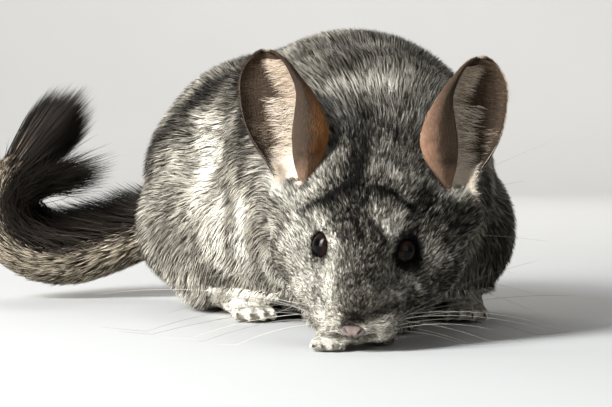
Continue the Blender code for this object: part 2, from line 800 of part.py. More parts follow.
def build():
    whole = whole_animal()
    body_copy = copy_of(whole)
    head, rest = split_off(whole, HEAD_REGION, HEAD)
    neck, torso = split_off(rest, NECK_REGION, HEAD)

    feet = {side: paw(*HIND_FEET[side], HIND_FOOT_SIZES) for side in (-1, 1)}
    hands = {side: paw(*FOREPAWS[side], FOREPAW_SIZES) for side in (-1, 1)}
    arms = {side: foreleg(side) for side in (-1, 1)}
    thighs = {}
    for side in (-1, 1):
        thighs[side], torso = split_off(torso, THIGH_REGIONS[side])
        cleared(arms[side], [hands[side]])
        cleared(thighs[side], [feet[side]])
        cleared(torso, [feet[side], hands[side], arms[side]])
        cleared(neck, [hands[side], arms[side]])

    eyes = {side: eye_centre(side, body_copy) for side in (-1, 1)}
    lids = [lid_ring(side, eyes[side]) for side in (-1, 1)]
    united_head = united([head] + lids + lips(), "MANIFOLD")
    for side in (-1, 1):
        socket = eye_ball(eyes[side], GAP)
        carved(united_head, socket, "DIFFERENCE")
        discard([socket])
        cleared(united_head, [hands[side], arms[side]])
    pad = nose_pad()
    cleared(united_head, [pad])
    jaw, head = split_off(united_head, (JAW_CENTRE, JAW_RADII), HEAD)

    tail = tail_lengths()
    cleared(tail[0], [body_copy])

    node(head, "head", FACE_FUR)
    node(jaw, "lower_jaw", FACE_FUR)
    node(pad, "nose", NOSE_SKIN)
    node(neck, "neck", BACK_FUR)
    node(torso, "torso", BACK_FUR)
    for name, piece in zip(("tail_base", "tail_middle", "tail_tip"), tail):
        node(piece, name, TAIL_FUR)
    for side, word in ((-1, "right"), (1, "left")):
        node(cleared(ear_sheet(side), [body_copy]), f"ear_{word}", EAR_SKIN)
        node(eye_ball(eyes[side]), f"eye_{word}", EYE_GLASS)
        node(thighs[side], f"thigh_{word}", BACK_FUR)
        node(feet[side], f"hind_foot_{word}", PAW_FUR)
        node(arms[side], f"foreleg_{word}", PAW_FUR)
        node(hands[side], f"forepaw_{word}", PAW_FUR)
    discard([body_copy])
    bpy.data.collections.remove(WORKSHOP)


def centred():
    """Moves the animal so that the middle of its box, on the floor, is the origin."""
    spots = [vertex.co for piece in ANIMAL.objects for vertex in piece.data.vertices]
    low = [min(spot[i] for spot in spots) for i in range(3)]
    high = [max(spot[i] for spot in spots) for i in range(3)]
    shift = Vector((-(low[0] + high[0]) / 2, -(low[1] + high[1]) / 2, -low[2]))
    for piece in ANIMAL.objects:
        piece.data.transform(Matrix.Translation(shift))
    return shift


build()
SHIFT = centred()
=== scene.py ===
"""The looks of the chinchilla: one skin under a dense coat of tufts, ears, eyes, nose, claws and whiskers."""

import itertools
import math

import bmesh
import bpy
import numpy as np
from mathutils import Matrix, Vector
from mathutils.bvhtree import BVHTree
from mathutils.kdtree import KDTree


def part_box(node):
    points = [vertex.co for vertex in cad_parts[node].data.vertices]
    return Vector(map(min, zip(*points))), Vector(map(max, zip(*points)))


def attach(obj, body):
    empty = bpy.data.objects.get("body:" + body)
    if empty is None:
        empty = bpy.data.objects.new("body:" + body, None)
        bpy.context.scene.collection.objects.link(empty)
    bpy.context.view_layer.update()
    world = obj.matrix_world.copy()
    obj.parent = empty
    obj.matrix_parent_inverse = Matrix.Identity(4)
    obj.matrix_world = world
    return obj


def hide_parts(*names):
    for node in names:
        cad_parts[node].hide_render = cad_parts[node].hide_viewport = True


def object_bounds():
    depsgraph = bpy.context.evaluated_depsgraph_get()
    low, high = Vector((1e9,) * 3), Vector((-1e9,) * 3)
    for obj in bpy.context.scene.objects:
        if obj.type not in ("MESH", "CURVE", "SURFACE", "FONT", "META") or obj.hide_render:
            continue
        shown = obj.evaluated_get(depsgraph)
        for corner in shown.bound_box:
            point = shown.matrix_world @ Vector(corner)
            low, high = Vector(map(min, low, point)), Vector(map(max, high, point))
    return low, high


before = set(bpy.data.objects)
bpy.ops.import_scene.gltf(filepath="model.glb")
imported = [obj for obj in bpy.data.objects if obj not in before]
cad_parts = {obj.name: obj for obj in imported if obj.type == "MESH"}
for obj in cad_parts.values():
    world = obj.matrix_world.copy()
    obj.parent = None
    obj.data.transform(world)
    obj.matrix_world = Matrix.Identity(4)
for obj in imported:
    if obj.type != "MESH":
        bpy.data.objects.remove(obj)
CAD_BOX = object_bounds()

MM = 0.001
DRAW = np.random.default_rng(11)
COAT_SHARE = 1.0

# Where the middle of the view meets the floor, and the camera before it
SETTING = Vector((0.03358, -0.02639, 0.0))
CAMERA_PLACE = SETTING + Vector((0, -0.72, 0.074))
CAMERA_TILT = math.radians(90 - 1.79)
VIEW_WIDTH, VIEW_HEIGHT = 612, 407
FOCAL_PIXELS = 1700
SENSOR = 36.0

# The head's frame: its middle between the eyes, pitch, roll and yaw
HEAD_CENTRE = SETTING + Vector((0.0219, -0.0765, 0.0366))
HEAD_PITCH, HEAD_ROLL, HEAD_YAW = math.radians(40), math.radians(4), math.radians(-7)
NOSE_CENTRE = Vector((0, -0.0358, -0.0068))
EYE_FACING = Vector((0.74, -0.55, 0.38)).normalized()
EYE_RADIUS = 6.0 * MM
LID_OPENING = (6.1 * MM, 6.3 * MM)
EYE_SHADOWS = {-1: 0.0084, 1: 0.0094}

# Skin
SKIN_VOXEL = 1.0 * MM
SEAM_FILL = 0.4 * MM
FLESH = ("head", "lower_jaw", "neck", "torso", "thigh_left", "thigh_right", "foreleg_left", "foreleg_right")
FEET = ("forepaw_left", "forepaw_right", "hind_foot_left", "hind_foot_right")
TAIL = ("tail_base", "tail_middle", "tail_tip")

# Tail: the line of its bones, its radius, and its long bristles
TAIL_LINE = [SETTING + Vector(spot) for spot in (
    (-0.052, 0.118, 0.040),
    (-0.076, 0.130, 0.034),
    (-0.096, 0.133, 0.026),
    (-0.115, 0.133, 0.020),
    (-0.133, 0.131, 0.021),
    (-0.146, 0.128, 0.029),
    (-0.152, 0.125, 0.043),
    (-0.149, 0.122, 0.056),
    (-0.141, 0.120, 0.066),
)]
TAIL_MIDDLE_OF_CURL = SETTING + Vector((-0.118, 0.130, 0.060))
TAIL_RADII = ((0, 0.15, 0.4, 0.7, 1), (0.0090, 0.0105, 0.0110, 0.0100, 0.0060))
BRUSH_AIM = Vector((0.66, -0.04, 0.75)).normalized()

# Feet: heel, ball and sizes (width, height, toe length, spread of the toes in degrees, number of toes)
HIND_SIZES, FORE_SIZES = (0.0120, 0.0108, 0.0150, 24, 4), (0.0076, 0.0070, 0.0090, 28, 4)
FOOT_LINES = [(SETTING + Vector(heel), SETTING + Vector(ball), sizes) for heel, ball, sizes in (
    ((-0.0340, 0.0660, 0), (-0.0245, 0.0245, 0), HIND_SIZES),
    ((0.0740, 0.0640, 0), (0.0700, 0.0230, 0), HIND_SIZES),
    ((0.0100, -0.0745, 0), (0.0088, -0.0870, 0), FORE_SIZES),
    ((0.0310, -0.0560, 0), (0.0290, -0.0680, 0), FORE_SIZES),
)]

# Ears: the base of each, and rows of (height, outer edge, inner turn, edge of the front fold) in mm
EAR_BASES = {-1: SETTING + Vector((-0.0063, -0.0570, 0.0584)), 1: SETTING + Vector((0.0597, -0.0570, 0.0556))}
EAR_ROWS = (
    (-3.0, 3.0, -3.8, -3.4),
    (0.5, 4.0, -5.2, -3.6),
    (5.7, 6.0, -9.2, -3.2),
    (11.0, 9.0, -11.8, -1.8),
    (16.0, 12.5, -13.5, -1.2),
    (22.0, 16.0, -14.9, -1.0),
    (29.0, 18.6, -13.4, -1.8),
    (38.0, 20.0, -8.6, -2.6),
    (44.5, 19.7, -3.6, -0.8),
    (50.0, 17.4, 0.8, 2.0),
    (53.4, 14.2, 4.6, 5.2),
    (54.8, 11.8, 7.6, 8.0),
)
EAR_LEAN_BACK = 0.16
EAR_MARGINS = {-1: (0.27, 0.112, 0.038), 1: (0.26, 0.145, 0.092)}
# Painted light: a tone added to each ear's flatter hair (lift under 25 degrees), which makes the left ear's cup a
# little paler
EAR_PAINTED_LIGHT = {-1: 0.0, 1: 0.04}
EAR_CUP_DEPTH = 10.5 * MM
EAR_TURN_BACK = 0.30
EAR_THICKNESS = 0.9 * MM

# Coat: the mottling runs in rings round the trunk, drawn out by this much across it
RING_YAW = math.radians(18)
RING_STRETCH = 0.33
RING_FRAME = np.array(Matrix.Rotation(RING_YAW, 3, "Z")) @ np.diag((RING_STRETCH, 1.0, RING_STRETCH))
PIECE_TUFTS = (180000, 62000, 62000)
PATCH = 0.003
TUFT_CORNERS = 0.5
RIM_REACH = 9.0 * MM

# Folds of the skin, as lines that the view shows: (points, half width in mm, depth in mm). The coat and skin over them
# are darkened as painted shade.
FOLDS = (
    (((360, 132), (359, 148), (356, 160), (351, 171), (343, 181)), 2.8, 1.1),
    (((352, 175), (340, 183), (329, 190), (319, 195), (308, 200), (302, 205)), 2.2, 1.35),
    (((304, 176), (301, 190), (300, 198)), 0.7, 0.8),
    (((302, 205), (308, 214), (312, 224), (316, 233)), 0.7, 0.8),
    (((361, 196), (366, 186), (370, 182), (379, 183), (388, 186), (395, 189), (404, 197), (415, 204)), 1.9, 1.35),
    (((415, 204), (424, 200), (436, 199)), 1.5, 0.9),
    (((381, 176), (390, 181), (397, 187)), 1.1, 1.0),
    (((369, 182), (361, 196), (351, 211), (354, 216), (360, 221), (361, 232)), 1.7, 1.2),
    (((366, 207), (373, 220), (382, 229), (386, 238)), 1.2, 0.85),
    (((297, 197), (286, 204), (281, 215), (275, 232)), 0.8, 0.7),
    (((286, 231), (297, 232)), 0.6, 0.5),
    (((311, 290), (321, 303), (330, 310), (339, 312), (348, 316)), 0.7, 0.9),
    (((348, 316), (356, 318), (365, 319), (373, 317), (381, 312), (398, 305)), 1.2, 1.2),
    (((337, 337), (346, 339), (355, 339), (364, 339), (374, 337)), 1.0, 1.8),
    (((178, 133), (200, 129), (209, 132), (217, 139), (224, 146)), 1.2, 0.45),
    (((229, 202), (225, 214), (225, 233), (226, 252)), 1.1, 0.35),
    (((243, 126), (234, 140), (233, 160), (237, 184)), 1.5, 0.35),
)

# Pale and dark patches that the view shows: (points, radius in mm, tone, strength)
PATCHES = (
    # back and shoulders
    (((300, 56), (340, 36), (390, 32), (440, 62)), 9.0, 0.44, 0.8),
    (((365, 42), (378, 42)), 3.5, 0.66, 0.7),
    (((318, 84), (335, 80), (365, 74), (392, 76)), 5.5, 0.88, 0.85),
    # flank
    # The dark band on the upper left of the back is partly the coat's own darker back and partly painted shade on the
    # edge that the lamps catch
    (((262, 50), (244, 62), (238, 84), (242, 116)), 7.0, 0.03, 0.95),
    (((224, 74), (206, 86), (188, 97), (172, 113), (162, 134), (150, 156)), 7.0, 0.13, 0.95),
    (((193, 113), (196, 142)), 4.2, 1.05, 0.85),
    (((206, 116), (212, 122)), 3.6, 0.88, 0.85),
    (((224, 98), (225, 106)), 3.2, 0.24, 0.85),
    (((225, 108), (224, 130), (226, 150)), 4.2, 0.36, 0.85),
    (((204, 142), (201, 170), (203, 225), (206, 262)), 7.5, 0.94, 0.95),
    (((148, 160), (150, 190), (154, 240)), 4.6, 0.27, 0.85),
    (((145, 170), (146, 200), (149, 236)), 1.1, 0.90, 0.8),
    (((158, 165), (160, 200), (164, 235), (170, 268)), 5.5, 0.42, 0.85),
    (((214, 205), (216, 240), (220, 275)), 5.0, 1.10, 0.9),
    (((239, 205), (240, 245), (242, 300)), 5.0, 1.15, 0.95),
    (((229, 162), (229, 200)), 3.0, 0.42, 0.8),
    (((256, 200), (257, 240), (255, 270)), 2.6, 0.62, 0.7),
    (((268, 222), (270, 285)), 3.0, 1.05, 0.85),
    (((283, 240), (285, 290)), 3.0, 1.05, 0.85),
    (((243, 126), (238, 140), (239, 160), (241, 190)), 5.0, 0.28, 0.85),
    # crown and brow
    (((345, 122), (372, 112), (394, 120)), 9.0, 0.36, 0.85),
    # Painted light: the crown beside the right ear is painted pale where that ear casts its shadow
    (((313, 146), (317, 162), (325, 152)), 4.5, 1.00, 0.9),
    (((310, 184), (322, 179), (336, 170)), 2.6, 0.66, 0.85),
    (((365, 104), (364, 125), (362, 150), (356, 168), (346, 182)), 5.2, 0.10, 0.85),
    (((385, 165), (402, 172), (414, 190)), 4.5, 0.74, 0.8),
    (((410, 146), (422, 150)), 4.0, 0.66, 0.7),
    (((420, 194), (424, 199)), 2.0, 1.05, 0.9),
    (((345, 188), (354, 200), (346, 214)), 5.0, 0.12, 0.9),
    (((302, 200), (314, 202), (328, 198)), 3.3, 0.13, 0.9),
    (((300, 196), (303, 203), (308, 207)), 1.8, 0.0, 0.95),
    (((313, 214), (320, 227), (328, 240)), 2.8, 1.10, 0.95),
    (((378, 210), (388, 214), (402, 212), (402, 222), (392, 232)), 3.4, 0.92, 0.9),
    (((401, 215), (397, 230), (388, 226)), 3.0, 1.35, 1.0),
    (((266, 178), (280, 188), (294, 190)), 3.6, 1.10, 1.0),
    (((440, 186), (456, 191), (472, 182)), 3.6, 1.00, 0.9),
    # round the eyes
    # The dark ring round the left eye is partly its dark rim and partly painted shade round it
    (((396, 256), (400, 246), (407, 237), (416, 236), (422, 248), (420, 262), (411, 269), (400, 265)), 1.7, 0.02, 1.0),
    (((313, 256), (318, 263), (325, 261)), 1.0, 0.34, 0.8),
    # snout, cheeks and lips
    (((374, 232), (374, 262), (370, 288)), 4.4, 0.34, 0.8),
    (((350, 238), (353, 262), (360, 300)), 5.5, 0.37, 0.8),
    (((330, 248), (325, 270), (328, 296)), 4.4, 1.02, 0.95),
    (((296, 205), (290, 225), (297, 262), (306, 292)), 9.0, 0.90, 0.95),
    (((371, 288), (376, 301), (390, 300)), 3.4, 0.86, 0.8),
    (((345, 321), (374, 321)), 2.2, 0.24, 0.9),
    (((320, 316), (326, 328), (332, 346)), 4.0, 1.20, 1.0),
    # Painted light: the left side of the muzzle and the hollow of the cheek beside it lie in shade and are painted
    # paler
    (((366, 334), (374, 326), (386, 326), (380, 340)), 4.0, 1.35, 1.0),
    (((392, 322), (403, 327)), 2.6, 1.2, 0.9),
    (((343, 343), (357, 344), (371, 343)), 1.3, 1.15, 0.95),
    (((428, 200), (450, 206), (472, 214)), 6.0, 0.16, 0.85),
    (((430, 216), (448, 242), (444, 290)), 9.0, 0.32, 0.9),
    (((408, 302), (430, 306), (424, 320)), 5.0, 0.20, 0.85),
    (((434, 244), (443, 260)), 4.6, 0.88, 0.85),
    (((424, 236), (431, 238)), 1.1, 1.0, 0.9),
    (((444, 225), (449, 228)), 1.2, 1.0, 0.9),
    (((450, 252), (455, 260)), 1.2, 0.95, 0.9),
    (((429, 266), (436, 272)), 1.6, 0.95, 0.9),
    (((438, 205), (444, 207)), 1.2, 0.95, 0.9),
    (((461, 238), (463, 246)), 1.1, 0.90, 0.9),
    (((418, 282), (424, 290)), 1.2, 0.95, 0.9),
    (((392, 290), (405, 297)), 2.0, 0.95, 0.8),
    (((490, 190), (500, 250), (485, 300)), 14.0, 0.38, 0.9),
)


class Value:
    """A socket of a material that takes Python's operators."""

    def __init__(self, finish, socket):
        self.finish = finish
        self.socket = socket

    def maths(self, operation, *values):
        return self.finish.node("ShaderNodeMath", {"operation": operation}, *values)

    def __add__(self, other):
        return self.maths("ADD", self, other)

    __radd__ = __add__

    def __sub__(self, other):
        return self.maths("SUBTRACT", self, other)

    def __rsub__(self, other):
        return self.maths("SUBTRACT", other, self)

    def __mul__(self, other):
        return self.maths("MULTIPLY", self, other)

    __rmul__ = __mul__

    def __truediv__(self, other):
        return self.maths("DIVIDE", self, other)

    def __rtruediv__(self, other):
        return self.maths("DIVIDE", other, self)

    def __pow__(self, other):
        return self.maths("POWER", self, other)


class Finish:
    """A Principled material, built from named nodes."""

    def __init__(self, name, roughness, **fixed):
        self.material = bpy.data.materials.new(name)
        self.material.use_nodes = True
        self.tree = self.material.node_tree
        self.shader = self.tree.nodes["Principled BSDF"]
        self.shader.inputs["Roughness"].default_value = roughness
        for socket, value in fixed.items():
            self.shader.inputs[socket.replace("_", " ")].default_value = value

    def node(self, kind, settings=None, *values, output=0, **named):
        """Adds a node: its settings first, then its sockets by order or by name."""
        made = self.tree.nodes.new(kind)
        for setting, value in (settings or {}).items():
            if setting == "stops":
                ramp = made.color_ramp
                for place, colour in value[len(ramp.elements):]:
                    ramp.elements.new(place)
                for stop, (place, colour) in zip(ramp.elements, value):
                    stop.position = place
                    stop.color = (*colour, 1.0)
            else:
                setattr(made, setting, value)
        for socket, value in [*enumerate(values), *((k.replace("_", " "), v) for k, v in named.items())]:
            if isinstance(value, Value):
                self.tree.links.new(value.socket, made.inputs[socket])
            else:
                made.inputs[socket].default_value = value
        return Value(self, made.outputs[output])

    def attribute(self, name, output="Fac"):
        return self.node("ShaderNodeAttribute", {"attribute_name": name}, output=output)

    def place(self):
        return self.node("ShaderNodeTexCoord", output="Object")

    def noise(self, scale, detail=2.0, where=None):
        return self.node("ShaderNodeTexNoise", Vector=where or self.place(), Scale=scale, Detail=detail)

    def ramp(self, value, stops):
        return self.node("ShaderNodeValToRGB", {"stops": stops}, value)

    def mixed(self, share, first, second):
        """One colour over another, by a share from 0 to 1."""
        kept = [part if isinstance(part, Value) else (*part, 1.0) for part in (first, second)]
        made = self.tree.nodes.new("ShaderNodeMix")
        made.data_type = "RGBA"
        for socket, value in ((0, share), (6, kept[0]), (7, kept[1])):
            if isinstance(value, Value):
                self.tree.links.new(value.socket, made.inputs[socket])
            else:
                made.inputs[socket].default_value = value
        return Value(self, made.outputs[2])

    def bump(self, height, strength, distance):
        return self.node("ShaderNodeBump", None, Height=height, Strength=strength, Distance=distance)

    def feed(self, **links):
        for socket, value in links.items():
            self.tree.links.new(value.socket, self.shader.inputs[socket.replace("_", " ")])
        return self.material


FUR_TONES = (
    (0.00, (0.0045, 0.0038, 0.0031)),
    (0.30, (0.052, 0.045, 0.036)),
    (0.55, (0.25, 0.225, 0.183)),
    (0.78, (0.60, 0.555, 0.465)),
    (1.00, (0.95, 0.90, 0.79)),
)
TAIL_TONES = (
    (0.00, (0.007, 0.0055, 0.0045)),
    (0.30, (0.035, 0.027, 0.020)),
    (0.60, (0.22, 0.175, 0.125)),
    (1.00, (0.78, 0.68, 0.52)),
)
EAR_HAIR_TONES = (
    (0.00, (0.024, 0.014, 0.008)),
    (0.35, (0.125, 0.080, 0.046)),
    (0.65, (0.40, 0.31, 0.225)),
    (1.00, (0.92, 0.81, 0.67)),
)


def fur_finish(name, tones, grain_scale):
    finish = Finish(name, 0.75, Specular_IOR_Level=0.12)
    tone = finish.attribute("tone") + (finish.noise(grain_scale) - 0.5) * 0.13
    return finish.feed(Base_Color=finish.ramp(tone, tones))


def skin_finish():
    finish = Finish("skin", 0.85, Specular_IOR_Level=0.08)
    tone = finish.attribute("tone") + (finish.noise(900.0) - 0.5) * 0.2
    fuzz = finish.noise(2600.0, 3.0)
    return finish.feed(Base_Color=finish.ramp(tone, FUR_TONES), Normal=finish.bump(fuzz, 0.5, 0.0003))


def ear_finish(name, margin):
    """Bare brown skin, paler on the front fold, whose margin has its own colour, and dark at the rim."""
    finish = Finish(name, 0.7, Specular_IOR_Level=0.06, Subsurface_Weight=0.05, Subsurface_Scale=0.002)
    up, around, rim = finish.attribute("up"), finish.attribute("around"), finish.attribute("rim")
    drawn = finish.node("ShaderNodeVectorMath", {"operation": "MULTIPLY"}, finish.place(), (1.0, 1.0, 0.25))
    mottle = finish.noise(220.0, 4.0)
    fine = finish.noise(1500.0, 3.0, drawn)
    brown = finish.ramp(mottle * 0.5 + fine * 0.5, ((0.2, (0.018, 0.0125, 0.0085)), (0.8, (0.05, 0.034, 0.023))))
    across = around + (mottle - 0.5) * 0.10 + (fine - 0.5) * 0.10
    # On the fold, the dark stripe next to the cup (0.09 to 0.15) is partly painted shade from the cup's rim
    fold = finish.ramp(across, (
        (0.00, (0.046, 0.032, 0.022)),
        (0.09, (0.036, 0.024, 0.016)),
        (0.15, (0.030, 0.018, 0.011)),
        (0.24, tuple(0.48 * part for part in margin)),
        (0.34, margin),
    ))
    low = finish.ramp(up + (mottle - 0.5) * 0.2, ((0.10, (0.9, 0.9, 0.9)), (0.34, (0, 0, 0))))
    fold = finish.mixed(low, fold, (0.25, 0.155, 0.105))
    high = finish.ramp(up, ((0.48, (0, 0, 0)), (0.72, (0.85, 0.85, 0.85))))
    fold = finish.mixed(high, fold, (0.022, 0.015, 0.010))
    inside = finish.mixed(finish.ramp(around, ((0.32, (1, 1, 1)), (0.40, (0, 0, 0)))), brown, fold)
    colour = finish.mixed(rim * 0.85, inside, (0.018, 0.012, 0.009))
    return finish.feed(Base_Color=colour, Normal=finish.bump(fine + mottle * 0.6, 0.8, 0.0006))


def eye_finish():
    finish = Finish("eye", 0.03, IOR=1.20)
    ring = finish.attribute("ring")
    iris = finish.ramp(
        ring,
        ((0.28, (0.001, 0.001, 0.001)), (0.42, (0.0095, 0.0047, 0.0034)), (0.75, (0.006, 0.0032, 0.0025)), (0.90, (0.002, 0.001, 0.001))),
    )
    return finish.feed(Base_Color=iris)


def nose_finish():
    finish = Finish("nose_skin", 0.5, Specular_IOR_Level=0.4, Subsurface_Weight=0.1, Subsurface_Scale=0.001)
    fine = finish.noise(2400.0, 3.0)
    colour = finish.ramp(fine, ((0.3, (0.070, 0.052, 0.043)), (0.7, (0.21, 0.158, 0.134))))
    # Painted shade in the nostrils and in the groove below the pad
    colour = finish.mixed(finish.attribute("hole"), colour, (0.012, 0.008, 0.007))
    return finish.feed(Base_Color=colour, Normal=finish.bump(fine, 0.8, 0.0004))


def lid_finish():
    finish = Finish("lid_skin", 0.6, Specular_IOR_Level=0.15)
    fine = finish.noise(2600.0, 2.0)
    colour = finish.ramp(fine, ((0.3, (0.002, 0.0016, 0.0013)), (0.8, (0.008, 0.006, 0.005))))
    return finish.feed(Base_Color=colour, Normal=finish.bump(fine, 0.4, 0.0002))


def claw_finish():
    finish = Finish("claw_horn", 0.35, Coat_Weight=0.3)
    streak = finish.noise(900.0, 2.0)
    colour = finish.ramp(streak, ((0.3, (0.05, 0.04, 0.032)), (0.7, (0.14, 0.11, 0.085))))
    return finish.feed(Base_Color=colour)


def whisker_finish():
    finish = Finish("whisker", 0.4, Specular_IOR_Level=0.5)
    tone = finish.attribute("tone")
    return finish.feed(Base_Color=finish.ramp(tone, ((0.0, (0.02, 0.017, 0.015)), (1.0, (0.72, 0.66, 0.56)))))


def head_frame():
    turn = (
        Matrix.Rotation(HEAD_YAW, 4, "Z")
        @ Matrix.Rotation(HEAD_ROLL, 4, "Y")
        @ Matrix.Rotation(HEAD_PITCH, 4, "X")
    )
    return Matrix.Translation(HEAD_CENTRE) @ turn


HEAD = head_frame()
HEAD_BACK = np.array(HEAD.inverted())


def in_head(points):
    return points @ HEAD_BACK[:3, :3].T + HEAD_BACK[:3, 3]


def unit(vectors):
    return vectors / np.maximum(np.linalg.norm(vectors, axis=-1, keepdims=True), 1e-12)


def step(values, low, high):
    """0 below low, 1 above high, and smooth between."""
    share = np.clip((values - low) / (high - low), 0, 1)
    return share * share * (3 - 2 * share)


def grain(points, size, seed=0):
    """Smooth value noise from 0 to 1 whose grains are about that size."""
    spots = points / size + seed * 17.3
    cell = np.floor(spots).astype(np.int64)
    share = spots - cell
    share = share * share * (3 - 2 * share)
    total = np.zeros(len(points))
    for corner in itertools.product((0, 1), repeat=3):
        at = cell + corner
        mixed = (at[:, 0] * 73856093) ^ (at[:, 1] * 19349663) ^ (at[:, 2] * 83492791)
        mixed = (mixed ^ (mixed >> 13)) * 1274126177 & 0x7FFFFFFF
        weight = np.prod(np.where(corner, share, 1 - share), axis=1)
        total += weight * ((mixed >> 7) % 65536) / 65535
    return total


def new_object(name, mesh):
    made = bpy.data.objects.new(name, mesh)
    bpy.context.scene.collection.objects.link(made)
    return made


def vertices_of(mesh):
    found = np.empty(len(mesh.vertices) * 3)
    mesh.vertices.foreach_get("co", found)
    return found.reshape(-1, 3)


def normals_of(mesh):
    found = np.empty(len(mesh.vertices) * 3)
    mesh.vertex_normals.foreach_get("vector", found)
    return found.reshape(-1, 3)


def write_attribute(mesh, name, values):
    mesh.attributes.new(name, "FLOAT", "POINT").data.foreach_set("value", np.asarray(values, np.float32))


def baked(piece):
    graph = bpy.context.evaluated_depsgraph_get()
    mesh = bpy.data.meshes.new_from_object(piece.evaluated_get(graph))
    piece.modifiers.clear()
    piece.data = mesh
    return piece


def along(corners, t):
    """A smooth curve through the corners, t from 0 to 1."""
    spread = t * (len(corners) - 1)
    i = min(int(spread), len(corners) - 2)
    f = spread - i
    last = len(corners) - 1
    p0, p1, p2, p3 = (Vector(corners[k]) for k in (max(i - 1, 0), i, i + 1, min(i + 2, last)))
    return 0.5 * (
        2 * p1 + (p2 - p0) * f + (2 * p0 - 5 * p1 + 4 * p2 - p3) * f**2 + (3 * p1 - p0 - 3 * p2 + p3) * f**3
    )


def tail_direction(t):
    return (along(TAIL_LINE, min(t + 0.01, 1)) - along(TAIL_LINE, max(t - 0.01, 0))).normalized()


def tail_frame(t):
    """Along the tail, towards its bristly upper side, and across it."""
    ahead = tail_direction(t)
    upper = ahead.cross(Vector((0.1, 1, 0)).normalized())
    if upper.dot(TAIL_MIDDLE_OF_CURL - along(TAIL_LINE, t)) < 0:
        upper = -upper
    upper = (upper - ahead * upper.dot(ahead)).normalized()
    return ahead, upper, ahead.cross(upper).normalized()


def flesh():
    """The solids of the flesh and the core of the tail, swollen over their seams and fused."""
    whole = bmesh.new()
    for name in FLESH + FEET:
        piece = bmesh.new()
        piece.from_mesh(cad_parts[name].data)
        bmesh.ops.remove_doubles(piece, verts=piece.verts, dist=0.000002)
        piece.normal_update()
        for vertex, normal in [(v, v.normal.copy()) for v in piece.verts]:
            vertex.co += normal * SEAM_FILL
        mesh = bpy.data.meshes.new("part")
        piece.to_mesh(mesh)
        piece.free()
        whole.from_mesh(mesh)
        bpy.data.meshes.remove(mesh)
    steps = 60
    for i in range(steps + 1):
        t = i / steps
        place = Matrix.Translation(along(TAIL_LINE, t))
        bmesh.ops.create_uvsphere(
            whole, u_segments=20, v_segments=12, radius=float(np.interp(t, *TAIL_RADII)), matrix=place
        )
    mesh = bpy.data.meshes.new("skin")
    whole.to_mesh(mesh)
    whole.free()
    made = new_object("skin", mesh)
    remesh = made.modifiers.new("skin", "REMESH")
    remesh.mode = "VOXEL"
    remesh.voxel_size = SKIN_VOXEL
    made = baked(made)
    points = vertices_of(made.data)
    trunk = (1 - headness(points)) * (1 - footness(points)) * (1 - tailness(points)) * step(points[:, 2], 0.008, 0.020)
    group = made.vertex_groups.new(name="trunk")
    for i, weight in enumerate(trunk):
        group.add((i,), float(weight), "REPLACE")
    for name, rounds in (("", 3), ("trunk", 50)):
        soften = made.modifiers.new("soften", "SMOOTH")
        soften.factor = 0.5
        soften.iterations = rounds
        soften.vertex_group = name
    return baked(made)


def seen_at(pixel, tree):
    """The point of the surface that the view shows at a pixel, or the rim beside it."""
    turn = Matrix.Rotation(CAMERA_TILT, 3, "X")
    ray = Vector(((pixel[0] - VIEW_WIDTH / 2) / FOCAL_PIXELS, (VIEW_HEIGHT / 2 - pixel[1]) / FOCAL_PIXELS, -1))
    ray = (turn @ ray).normalized()
    hit = tree.ray_cast(CAMERA_PLACE, ray)[0]
    if hit is None:
        beside = [tree.find_nearest(CAMERA_PLACE + ray * reach) for reach in np.linspace(0.62, 0.95, 34)]
        spot, _, _, away = min(beside, key=lambda found: found[3])
        hit = spot if away < RIM_REACH else None
    return hit


def laid(lines, tree):
    """Lines of pixels as lines on the surface, without points that miss it."""
    made = []
    for pixels, *sizes in lines:
        spots = [seen_at(pixel, tree) for pixel in pixels]
        spots = np.array([spot for spot in spots if spot is not None])
        if len(spots):
            made.append((spots, *sizes))
    return made


def line_distance(points, spots):
    """How far each point is from a line of spots."""
    if len(spots) == 1:
        return np.linalg.norm(points - spots[0], axis=1)
    best = np.full(len(points), 1.0)
    for a, b in zip(spots, spots[1:]):
        reach = b - a
        share = np.clip((points - a) @ reach / max(reach @ reach, 1e-12), 0, 1)
        best = np.minimum(best, np.linalg.norm(points - a - share[:, None] * reach, axis=1))
    return best


def headness(points):
    """1 on the head, 0 on the trunk."""
    place = in_head(points) / np.array([0.055, 0.050, 0.042])
    return 1 - step(np.linalg.norm(place, axis=1), 0.92, 1.25)


def footness(points):
    """1 on the feet, 0 elsewhere."""
    best = np.zeros(len(points))
    for name in FEET:
        low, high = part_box(name)
        middle = (np.array(low) + np.array(high)) / 2
        half = (np.array(high) - np.array(low)) / 2 + 0.001
        best = np.maximum(best, 1 - step(np.abs((points - middle) / half).max(axis=1), 0.95, 1.2))
    return best


def tailness(points):
    """1 on the tail, 0 on the trunk."""
    return 1 - step(points[:, 0], -0.046, -0.030)


EYES = {side: sum(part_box("eye_" + word), Vector()) / 2 for side, word in ((-1, "right"), (1, "left"))}
NOSE = HEAD @ NOSE_CENTRE


def near(points, spot, reach):
    """1 at the spot, 0 beyond the reach."""
    return 1 - step(np.linalg.norm(points - np.array(spot), axis=1), reach * 0.4, reach)


def face_length(points):
    """How far back from the nose a point of the head lies, from 0 at the nose to 1 at the crown."""
    return np.clip((in_head(points)[:, 1] + 0.038) / 0.070, 0, 1)


def coat_depth(points):
    """How far the skin lies under the tips of the coat."""
    on_head = headness(points)
    depth_head = np.interp(face_length(points), (0, 0.2, 0.5, 1), (0.3, 0.5, 1.1, 2.7)) * MM
    depth = on_head * depth_head + (1 - on_head) * 4.4 * MM
    for eye in EYES.values():
        depth *= 1 - 0.85 * near(points, eye, 0.013)
    depth = depth * (1 - footness(points)) + footness(points) * 0.5 * MM
    depth = depth * (1 - tailness(points)) + tailness(points) * 0.6 * MM
    return depth * (0.15 + 0.85 * step(points[:, 2], 0.0005, 0.010)) + SEAM_FILL


